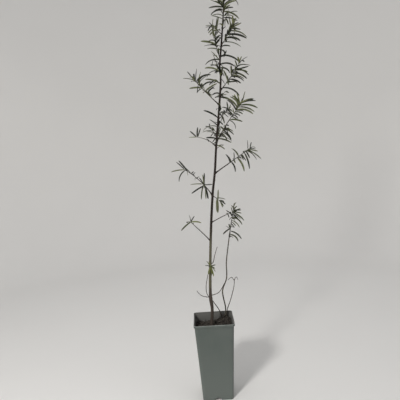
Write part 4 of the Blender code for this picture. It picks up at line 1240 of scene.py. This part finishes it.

# Below the top of the crown the leaves that stand out to the left and right are listed here, and
# the rule adds those that point to the front and back. Each row gives how far up its stem a leaf
# sits (on the trunk, the height), azimuth, rise at the root, droop, length and kind.
SET_LEAVES = {
    "trunk": (
        (0.820, 0, 50, 5, 0.012, DARK_AND_SHADED), (0.822, 0, 40, 5, 0.012, DARK_AND_SHADED),
        (0.787, 0, 7, 50, 0.055, OLIVE), (0.776, 0, 21, 50, 0.026, DARK_AND_SHADED),
        (0.768, 0, 1, 150, 0.027, DARK_AND_SHADED), (0.750, 0, 5, -75, 0.026, DARK_AND_SHADED),
        (0.752, 0, 10, 65, 0.062, DARK_AND_SHADED), (0.550, 0, 75, 10, 0.030, DARK_AND_SHADED),
        (0.727, 0, 32, 72, 0.044, DARK_AND_SHADED), (0.719, 0, 12, 85, 0.034, DARK_AND_SHADED),
        (0.691, 0, -37, 30, 0.016, DARK_AND_SHADED), (0.665, -5, 8, 70, 0.060, DARK_AND_SHADED),
        (0.641, 15, 10, 60, 0.053, DARK_AND_SHADED), (0.579, 0, -30, 25, 0.018, DARK_AND_SHADED),
        (0.537, 0, 5, 50, 0.040, DARK_AND_SHADED), (0.530, 0, -2, 35, 0.042, OLIVE),
        (0.525, 0, 80, 5, 0.030, DARK_AND_SHADED), (0.540, 0, 62, -10, 0.026, DARK_AND_SHADED),
        (0.532, 0, 58, -10, 0.030, OLIVE), (0.512, 0, -9, 40, 0.027, OLIVE),
        (0.522, 180, -30, 10, 0.014, DARK_AND_SHADED), (0.533, 180, -35, 20, 0.018, DARK_AND_SHADED),
        (0.548, 180, -40, 20, 0.016, DARK_AND_SHADED), (0.745, 180, 70, 5, 0.027, DARK_AND_SHADED),
        (0.740, 180, 28, 75, 0.044, DARK_AND_SHADED), (0.738, 180, 52, 6, 0.034, OLIVE),
        (0.727, 180, 8, 8, 0.025, DARK_AND_SHADED), (0.707, 180, 51, 60, 0.046, OLIVE),
        (0.707, 180, 42, 115, 0.045, DARK_AND_SHADED), (0.676, 180, 47, 50, 0.046, OLIVE),
        (0.651, 180, 30, 75, 0.024, DARK_AND_SHADED), (0.642, 215, 10, 40, 0.020, DARK_AND_SHADED),
        (0.585, 180, 43, 30, 0.046, DARK_AND_SHADED), (0.563, 180, 57, 30, 0.030, DARK_AND_SHADED),
        (0.561, 180, 33, 90, 0.047, OLIVE), (0.541, 180, 39, 40, 0.030, OLIVE),
        (0.530, 180, 18, 20, 0.030, DARK_AND_SHADED),
    ),
    "foliage_leader": (
        (0.27, 180, 24, 30, 0.041, DARK_AND_SHADED), (0.18, 180, 31, 80, 0.038, DARK_AND_SHADED),
        (0.22, 180, 8, 70, 0.042, DARK_AND_SHADED), (0.07, 0, 22, 45, 0.030, OLIVE),
        (0.07, 180, 42, 70, 0.033, OLIVE), (0.30, 180, 50, 45, 0.031, OLIVE),
        (0.24, 180, 60, 10, 0.030, DARK_AND_SHADED), (0.28, 180, 34, 25, 0.038, OLIVE),
        (0.10, 180, 66, 8, 0.022, DARK_AND_SHADED), (0.22, 0, 62, 10, 0.028, DARK_AND_SHADED),
        (0.18, 0, 50, 20, 0.026, OLIVE), (0.14, 0, 70, 8, 0.024, OLIVE),
        (0.33, 0, 30, 30, 0.036, OLIVE),
        (0.35, 180, 55, 40, 0.032, OLIVE), (0.27, 180, 52, 30, 0.028, DARK_AND_SHADED),
        (0.32, 180, 59, 30, 0.030, DARK_AND_SHADED), (0.00, 180, 32, 20, 0.032, OLIVE),
        (0.40, 180, 62, 30, 0.034, DARK_AND_SHADED), (0.52, 0, 19, 100, 0.050, DARK_AND_SHADED),
        (0.31, 0, 42, 35, 0.034, DARK_AND_SHADED), (0.20, 0, 28, 45, 0.027, DARK_AND_SHADED),
        (0.17, 0, 14, 62, 0.048, OLIVE), (0.03, 0, 10, 40, 0.041, DARK_AND_SHADED),
        (0.27, 0, 45, 60, 0.036, OLIVE), (0.38, 0, 60, 30, 0.030, DARK_AND_SHADED),
    ),
    "foliage_crown_back": (
        (0.75, 0, -78, 10, 0.040, YOUNG), (0.85, 0, 30, 40, 0.026, OLIVE),
        (0.60, 0, 80, 5, 0.018, YOUNG),
    ),
    "foliage_crown_left": (
        (0.35, 0, 84, 8, 0.034, DARK_AND_SHADED), (0.30, 0, 80, 6, 0.034, OLIVE),
        (0.80, 0, 86, 5, 0.020, OLIVE), (0.10, 180, 55, 5, 0.022, DARK_AND_SHADED),
        (0.60, 180, 22, 40, 0.024, DARK_AND_SHADED), (0.55, 180, -16, 40, 0.023, OLIVE),
        (0.90, 180, 20, 30, 0.018, OLIVE), (0.78, 180, 55, 6, 0.016, DARK_AND_SHADED),
        (0.20, 180, 60, 10, 0.018, OLIVE),
    ),
    "foliage_front_upper": (
        (0.35, 180, 84, 5, 0.046, YOUNG), (0.60, 0, 86, 4, 0.033, DARK_AND_SHADED),
        (0.75, 180, 28, 70, 0.019, DARK_AND_SHADED), (0.55, 180, 26, 25, 0.041, OLIVE),
        (0.45, 180, 20, 35, 0.033, DARK_AND_SHADED), (0.25, 180, 23, 30, 0.027, OLIVE),
        (0.40, 180, 58, 30, 0.018, DARK_AND_SHADED), (0.90, 0, 26, 70, 0.018, DARK_AND_SHADED),
        (0.50, 0, 50, 5, 0.018, DARK_AND_SHADED), (0.75, 0, 40, 10, 0.015, DARK_AND_SHADED),
    ),
    "foliage_crown_right": (
        (0.85, 0, 79, 10, 0.023, DARK_AND_SHADED), (0.90, 0, 55, 60, 0.018, DARK_AND_SHADED),
        (0.75, 0, 10, 25, 0.025, DARK_AND_SHADED), (0.45, 0, 79, 8, 0.022, OLIVE),
        (0.38, 0, 10, 48, 0.053, DARK_AND_SHADED), (0.38, 0, 8, 40, 0.036, DARK_AND_SHADED),
        (0.60, 0, 14, 60, 0.051, OLIVE), (0.13, 0, 18, 70, 0.034, DARK_AND_SHADED),
        (0.16, 0, 14, 60, 0.042, DARK_AND_SHADED), (0.82, 0, 24, 10, 0.026, OLIVE),
        (0.90, 0, 70, 8, 0.024, OLIVE), (0.78, 0, 34, 8, 0.024, OLIVE),
        (0.25, 0, 80, 5, 0.019, DARK_AND_SHADED),
        (0.70, 0, 65, -15, 0.024, OLIVE), (0.80, 0, 60, -20, 0.020, OLIVE),
    ),
    "foliage_upper_back": ((0.15, 180, 12, 15, 0.021, OLIVE),),
    "foliage_upper_right": (
        (0.80, 180, 80, 10, 0.019, OLIVE), (0.68, 0, 3, -8, 0.035, DARK_AND_SHADED),
        (0.85, 0, 20, 40, 0.036, OLIVE), (0.75, 0, -8, 35, 0.038, DARK_AND_SHADED),
        (0.90, 0, 70, 10, 0.022, OLIVE), (0.42, 0, 5, 50, 0.036, OLIVE),
        (0.25, 0, -5, 40, 0.034, DARK_AND_SHADED), (0.95, 0, 45, 30, 0.026, DARK_AND_SHADED),
        (0.65, 0, 9, 40, 0.035, OLIVE), (0.55, 0, -1, 45, 0.041, DARK_AND_SHADED),
        (0.50, 0, 0, 40, 0.032, OLIVE), (0.35, 0, 17, 65, 0.040, DARK_AND_SHADED),
        (0.10, 0, 6, 10, 0.031, DARK_AND_SHADED), (0.50, 180, 87, 30, 0.020, DARK_AND_SHADED),
        (0.15, 180, 82, 20, 0.032, OLIVE), (0.20, 180, 85, 10, 0.012, DARK_AND_SHADED),
    ),
    "foliage_upper_left": (
        (0.74, 0, 84, 5, 0.034, DARK_AND_SHADED), (0.62, 0, 79, 10, 0.034, YOUNG),
        (0.72, 0, 52, 60, 0.046, DARK_AND_SHADED), (0.85, 180, 55, 5, 0.014, YOUNG),
        (0.80, 180, 19, 12, 0.032, OLIVE), (0.97, 180, 55, 10, 0.016, DARK_AND_SHADED),
        (0.66, 0, 60, 45, 0.036, DARK_AND_SHADED), (0.60, 0, 60, 40, 0.030, DARK_AND_SHADED),
        (0.45, 0, 60, 70, 0.036, DARK_AND_SHADED), (0.28, 0, 39, 20, 0.039, OLIVE),
        (0.18, 0, 55, 30, 0.028, DARK_AND_SHADED), (0.45, 180, 14, 20, 0.034, OLIVE),
        (0.42, 180, -16, 45, 0.020, DARK_AND_SHADED), (0.30, 180, 75, 8, 0.022, YOUNG),
        (0.60, 180, -72, 8, 0.020, DARK_AND_SHADED),
    ),
    "foliage_steep_right": (
        (0.97, 0, 74, 5, 0.029, OLIVE), (0.97, 0, 29, 30, 0.033, OLIVE),
        (0.97, 0, 22, 30, 0.029, DARK_AND_SHADED), (0.93, 0, 21, 35, 0.038, DARK_AND_SHADED),
        (0.85, 0, 12, 50, 0.050, OLIVE), (0.80, 0, 6, 45, 0.048, OLIVE),
        (0.70, 0, 12, 60, 0.048, OLIVE), (0.70, 0, 0, 30, 0.022, DARK_AND_SHADED),
        (0.64, 0, 12, 60, 0.024, OLIVE), (0.60, 0, 2, 60, 0.020, DARK_AND_SHADED),
        (0.56, 0, -17, 50, 0.018, DARK_AND_SHADED), (0.50, 0, -15, 30, 0.018, DARK_AND_SHADED),
        (0.40, 0, 4, 35, 0.036, OLIVE), (0.38, 0, -16, 80, 0.031, DARK_AND_SHADED),
        (0.15, 0, -10, 30, 0.027, OLIVE), (0.12, 0, -10, 45, 0.033, DARK_AND_SHADED),
        (0.08, 0, -31, 40, 0.035, DARK_AND_SHADED), (0.03, 0, -27, 45, 0.038, DARK_AND_SHADED),
        (0.00, 30, -20, 35, 0.030, OLIVE), (0.85, 180, 85, 12, 0.039, YOUNG),
        (0.88, 180, 75, 50, 0.035, OLIVE), (0.84, 180, 72, 50, 0.037, OLIVE),
        (0.80, 180, 80, 10, 0.036, YOUNG), (0.76, 180, 70, 60, 0.046, OLIVE),
        (0.69, 180, 77, 50, 0.038, DARK_AND_SHADED), (0.60, 180, 85, 10, 0.014, OLIVE),
        (0.55, 180, 60, 20, 0.016, DARK_AND_SHADED), (0.50, 180, 40, 20, 0.014, DARK_AND_SHADED),
    ),
    "foliage_spur_right": (
        (0.85, 180, 88, 6, 0.025, DARK_AND_SHADED), (0.95, 180, 48, 50, 0.022, DARK_AND_SHADED),
        (0.45, 180, 50, 20, 0.010, DARK_AND_SHADED), (0.66, 180, 20, 30, 0.012, DARK_AND_SHADED),
        (0.95, 0, 70, 10, 0.018, OLIVE), (0.95, 0, 60, 20, 0.012, OLIVE),
        (0.90, 0, -50, 20, 0.014, DARK_AND_SHADED), (1.00, 0, -20, 20, 0.012, OLIVE),
        (0.60, 0, -20, 20, 0.015, DARK_AND_SHADED), (0.70, 0, -28, 20, 0.017, DARK_AND_SHADED),
        (0.85, 0, -42, 20, 0.018, OLIVE), (0.95, 0, -65, 10, 0.016, DARK_AND_SHADED),
        (0.40, 0, -35, 10, 0.014, OLIVE), (0.80, 0, 30, 20, 0.013, DARK_AND_SHADED),
    ),
    "foliage_middle_back": (
        (0.30, 180, 15, 40, 0.030, OLIVE), (0.60, 180, 40, 30, 0.018, DARK_AND_SHADED),
        (0.10, 180, -30, 30, 0.014, DARK_AND_SHADED),
    ),
    "foliage_long_right": (
        (0.90, 0, 84, -14, 0.027, DARK_AND_SHADED), (1.00, 0, 78, 8, 0.018, DARK_AND_SHADED),
        (0.97, 0, 2, 15, 0.018, DARK_AND_SHADED), (0.92, 0, -9, 10, 0.027, OLIVE),
        (0.88, 0, -25, 25, 0.046, OLIVE), (0.85, 0, -29, 35, 0.037, DARK_AND_SHADED),
        (0.80, 0, -53, 20, 0.022, DARK_AND_SHADED), (0.72, 0, -58, 30, 0.046, DARK_AND_SHADED),
        (0.58, 0, -49, 15, 0.021, DARK_AND_SHADED), (0.90, 0, 32, 12, 0.015, DARK_AND_SHADED),
        (0.38, 0, -42, 45, 0.044, OLIVE), (0.10, 0, -46, 50, 0.031, DARK_AND_SHADED),
        (0.55, 0, -50, 20, 0.016, DARK_AND_SHADED), (0.62, 0, -60, 10, 0.016, OLIVE),
        (0.60, 0, 28, 5, 0.018, DARK_AND_SHADED), (0.74, 0, 34, 5, 0.016, OLIVE),
        (0.05, 180, 86, 45, 0.025, DARK_AND_SHADED), (0.25, 0, 80, -20, 0.020, DARK_AND_SHADED),
        (0.45, 180, 73, 45, 0.029, OLIVE),
    ),
    "foliage_mid_left": (
        (1.00, 180, 48, 5, 0.025, DARK_AND_SHADED), (0.95, 0, 86, 5, 0.026, DARK_AND_SHADED),
        (0.90, 0, 71, 5, 0.026, DARK_AND_SHADED), (1.00, 180, 3, 5, 0.022, YOUNG),
    ),
    "foliage_long_left": (
        (0.97, 180, 50, 8, 0.031, DARK_AND_SHADED), (0.84, 180, 56, 8, 0.038, DARK_AND_SHADED),
        (0.70, 180, 50, 5, 0.028, DARK_AND_SHADED),
        (0.95, 180, 5, 20, 0.039, OLIVE), (0.93, 180, -25, 65, 0.038, DARK_AND_SHADED),
        (0.87, 0, -80, 5, 0.011, OLIVE), (0.45, 0, 30, 20, 0.009, DARK_AND_SHADED),
        (0.55, 180, 60, 20, 0.010, DARK_AND_SHADED), (0.62, 0, 50, 20, 0.010, DARK_AND_SHADED),
        (0.70, 0, 40, 10, 0.010, DARK_AND_SHADED), (0.50, 180, -70, 10, 0.008, OLIVE),
        (0.11, 180, 88, 4, 0.027, OLIVE), (0.13, 180, 66, 10, 0.021, DARK_AND_SHADED),
        (0.13, 180, 6, 10, 0.036, OLIVE), (0.06, 180, -22, 10, 0.042, DARK_AND_SHADED),
        (0.12, 180, -72, 12, 0.040, OLIVE), (0.02, 0, -80, 5, 0.034, DARK_AND_SHADED),
        (0.04, 0, -76, 6, 0.037, DARK_AND_SHADED), (0.00, 180, -86, 5, 0.034, OLIVE),
        (0.09, 0, 87, 4, 0.032, DARK_AND_SHADED), (0.08, 0, 4, 6, 0.023, DARK_AND_SHADED),
    ),
    "foliage_front_low": (
        (0.50, 0, 87, 4, 0.025, OLIVE), (0.30, 0, -80, 20, 0.037, OLIVE),
        (0.32, 180, -84, 5, 0.036, OLIVE), (0.60, 0, -22, 25, 0.022, DARK_AND_SHADED),
        (0.80, 0, -60, 20, 0.018, OLIVE), (0.90, 0, -48, 20, 0.014, DARK_AND_SHADED),
        (0.20, 0, 0, 20, 0.025, OLIVE),
    ),
    "foliage_low_right": ((0.50, 0, -70, 12, 0.011, DARK_AND_SHADED), (1.00, 180, 40, 10, 0.013, DARK_AND_SHADED)),
    "foliage_sucker": (
        (0.80, 180, 84, 8, 0.020, OLIVE), (0.80, 0, 40, 15, 0.027, DARK_AND_SHADED),
        (1.00, 0, 80, 5, 0.014, DARK_AND_SHADED), (0.95, 180, 75, 10, 0.013, OLIVE),
        (0.90, 0, 60, 20, 0.018, OLIVE), (0.75, 180, 50, 20, 0.012, DARK_AND_SHADED),
        (0.65, 0, 10, 30, 0.016, DARK_AND_SHADED), (0.78, 0, -30, 20, 0.020, DARK_AND_SHADED),
        (0.50, 0, -50, 15, 0.016, DARK_AND_SHADED), (0.92, 0, 8, 15, 0.022, DARK_AND_SHADED),
        (0.87, 0, 22, 5, 0.024, OLIVE), (0.87, 0, -8, 10, 0.025, OLIVE),
        (0.85, 0, -23, 30, 0.038, OLIVE), (0.80, 0, -22, 30, 0.028, DARK_AND_SHADED),
        (0.70, 0, -48, 10, 0.013, DARK_AND_SHADED), (0.72, 0, -18, 50, 0.038, OLIVE),
        (0.60, 0, -24, 45, 0.032, OLIVE),
        (0.55, 0, -35, 25, 0.018, OLIVE), (0.25, 0, -9, 55, 0.040, DARK_AND_SHADED),
        (0.14, 0, -3, 80, 0.035, OLIVE), (0.33, 180, -24, 25, 0.027, DARK_AND_SHADED),
        (0.70, 180, -20, 40, 0.011, DARK_AND_SHADED),
    ),
    "foliage_low_left": (
        (1.00, 180, 84, 5, 0.021, DARK_AND_SHADED), (1.00, 0, 56, 6, 0.020, DARK_AND_SHADED),
        (1.00, 180, 22, 60, 0.013, DARK_AND_SHADED), (1.00, 180, -26, 20, 0.035, OLIVE),
        (1.00, 180, 8, 10, 0.014, OLIVE), (0.95, 0, 12, 40, 0.030, YOUNG),
    ),
    "spur_leaves_01": (
        (0.8, 195, 25, 14, 0.019, OLIVE), (0.8, 200, 60, 8, 0.019, YOUNG),
        (0.8, -95, 62, 10, 0.020, YOUNG), (0.9, -110, -40, 20, 0.022, YOUNG),
        (0.9, -20, -30, 35, 0.020, OLIVE), (0.9, -30, -61, 20, 0.028, YOUNG),
        (0.9, -60, -75, 10, 0.020, DARK_AND_SHADED), (0.9, -100, -60, 20, 0.025, YOUNG),
        (0.8, -15, 25, 15, 0.015, OLIVE), (0.8, 215, -60, 20, 0.022, YOUNG),
        (0.8, -45, -5, 20, 0.016, OLIVE),
    ),
}
SET_SWING = 24.0
SET_ROLL = (36.0, 66.0)
SET_TOP = SOIL_TOP + 0.895
SET_WIDTHS = (0.96, 1.24)
SET_NARROW_SHARE = 0.45


def set_leaves(name, chance):
    """The leaves that are listed for one stem or for the trunk, each with its kind. They swing a
    little to the front or back, and the young ones show the viewer their upper side."""
    placed = []
    for share, azimuth, rise, droop, length, kind in SET_LEAVES.get(name, ()):
        if name == "trunk":
            root = at_height(whole_trunk, share)
        else:
            root = point_along(stems[name], line_length(stems[name]) * share)[0]
        swing = chance.uniform(-SET_SWING, SET_SWING)
        length /= math.cos(math.radians(swing))
        curve = leaf_curve(root, heading(azimuth + swing, rise), math.radians(droop), length)
        towards_front = math.copysign(1, math.cos(math.radians(azimuth)))
        roll = math.radians(chance.uniform(*SET_ROLL))
        roll *= towards_front if kind == YOUNG else chance.choice((-1, 1))
        width = leaf_width(length, SET_NARROW_SHARE) * chance.uniform(*SET_WIDTHS)
        placed.append((Leaf(curve, width, roll, share), kind))
    return placed


def gives_way(leaf):
    """Whether a leaf grown by the rule gives way to those that are listed."""
    root = leaf.curve(0.0)[0]
    reach = leaf.curve(1.0)[0] - root
    return root.z < SET_TOP and abs(reach.y) < FACING * reach.length


sprays = [bmesh.new() for _ in LEAF_KINDS]
chance = random.Random("leaves on the trunk")
for leaf, kind in set_leaves("trunk", chance):
    add_leaf(sprays[kind], leaf, chance.uniform(-LEAF_TWIST, LEAF_TWIST))
for name in stems:
    chance = random.Random("kinds of " + name)
    more = [(first, last, max(1, round(count * SECOND_SHARE)), length * SECOND_LENGTH)
            for first, last, count, length in groups[name]]
    grown = grow_leaves(name, groups[name], "leaves of ") + grow_leaves(name, more, "more leaves of ")
    for leaf in grown:
        if gives_way(leaf):
            continue
        young = leaf.share > YOUNG_FROM and chance.random() < YOUNG_CHANCE
        kind = YOUNG if young else chance.choice(KIND_SHARES)
        add_leaf(sprays[kind], leaf, chance.uniform(-LEAF_TWIST, LEAF_TWIST))
        if chance.random() < TUFT_CHANCE:
            for small in tuft(leaf, chance):
                add_leaf(sprays[chance.choice(TUFT_KINDS)], small, 0.0)
    for leaf, kind in set_leaves(name, chance):
        add_leaf(sprays[kind], leaf, chance.uniform(-LEAF_TWIST, LEAF_TWIST))
for (name, upper_colour, under_colour), spray in zip(LEAF_KINDS, sprays):
    faces = []
    for side, colour, roughness in (
            ("upper", upper_colour, UPPER_ROUGHNESS), ("under", under_colour, UNDER_ROUGHNESS)):
        face = Finish(f"{name} {side} side", {"Specular IOR Level": 0.25})
        grain = face.noise(LEAF_GRAIN)
        mottle = face.ramp(face.noise(LEAF_MOTTLE) * 0.7 + grain * 0.3, 0.35, 0.65)
        shade = tuple(channel * LEAF_SHADE for channel in colour)
        light = tuple(channel * LEAF_LIGHT for channel in colour)
        face.paint(face.blend(mottle, shade, light), roughness + 0.2 * grain)
        face.relief(grain, LEAF_GRAIN_DEPTH)
        faces.append(face)
    bmesh.ops.recalc_face_normals(spray, faces=spray.faces)
    piece = new_piece(name, spray, faces, sharp=30.0)
    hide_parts(*stems)
bpy.data.meshes.remove(blade_mesh)

# Floor, backdrop and light
# A plain pale sweep all round: a flat floor that curves up into a wall. A soft key light stands
# at the left in front, a weak one at the right, a broad one behind, and the room adds the rest.
SWEEP_FLOOR = 1.6
SWEEP_CURVE = 0.9
SWEEP_HEIGHT = 3.0
SWEEP_STEPS = 16
SWEEP_SIDES = 96
SWEEP_COLOUR = (0.800, 0.790, 0.775)
SWEEP_TOOTH = 0.4
SWEEP_MOTTLE = 0.97
LOOK_AT = Vector((0.03, 0.0, 0.55))
ROOM_COLOUR = (0.95, 0.97, 1.0)
ROOM_STRENGTH = 0.42

sweep = bmesh.new()
profile = [sweep.verts.new((0.0, 0.0, 0.0)), sweep.verts.new((SWEEP_FLOOR, 0.0, 0.0))]
for step in range(1, SWEEP_STEPS + 1):
    angle = math.pi / 2 * step / SWEEP_STEPS
    profile.append(sweep.verts.new((
        SWEEP_FLOOR + SWEEP_CURVE * math.sin(angle), 0.0, SWEEP_CURVE * (1 - math.cos(angle)))))
profile.append(sweep.verts.new((SWEEP_FLOOR + SWEEP_CURVE, 0.0, SWEEP_HEIGHT)))
lines = [sweep.edges.new(pair) for pair in zip(profile, profile[1:])]
bmesh.ops.spin(
    sweep, geom=profile + lines, axis=(0, 0, 1), cent=(0, 0, 0), angle=math.tau, steps=SWEEP_SIDES,
    use_merge=True)
bmesh.ops.remove_doubles(sweep, verts=sweep.verts, dist=1e-5)
bmesh.ops.recalc_face_normals(sweep, faces=sweep.faces)
bmesh.ops.reverse_faces(sweep, faces=sweep.faces)
sweep_mesh = bpy.data.meshes.new("backdrop")
sweep.to_mesh(sweep_mesh)
sweep.free()
sweep_mesh.shade_smooth()
paper = Finish("pale paper", {"Specular IOR Level": 0.1})
duller = tuple(channel * SWEEP_MOTTLE for channel in SWEEP_COLOUR)
paper.paint(paper.blend(paper.noise(SWEEP_TOOTH), SWEEP_COLOUR, duller), 0.9)
sweep_mesh.materials.append(paper.material)
backdrop = bpy.data.objects.new("backdrop", sweep_mesh)
bpy.context.scene.collection.objects.link(backdrop)


def soft_light(name, place, size, power, colour):
    """A round lamp that is turned towards the plant."""
    lamp = bpy.data.lights.new(name, "AREA")
    lamp.shape = "DISK"
    lamp.size = size
    lamp.energy = power
    lamp.color = colour
    stand = bpy.data.objects.new(name, lamp)
    stand.location = place
    stand.rotation_mode = "QUATERNION"
    stand.rotation_quaternion = (LOOK_AT - stand.location).to_track_quat("-Z", "Y")
    bpy.context.scene.collection.objects.link(stand)


soft_light("key light", place=(-0.92, -1.72, 1.50), size=0.36, power=36.0, colour=(1.0, 0.985, 0.96))
soft_light("fill light", place=(1.5, -0.9, 1.2), size=1.2, power=1.5, colour=(0.96, 0.98, 1.0))
soft_light("back light", place=(0.3, 1.6, 1.9), size=1.4, power=5.0, colour=(1.0, 1.0, 1.0))

world = bpy.data.worlds.new("room")
world.use_nodes = True
background = world.node_tree.nodes["Background"]
background.inputs["Color"].default_value = (*ROOM_COLOUR, 1.0)
background.inputs["Strength"].default_value = ROOM_STRENGTH
bpy.context.scene.world = world
bpy.context.scene.view_settings.view_transform = "Standard"
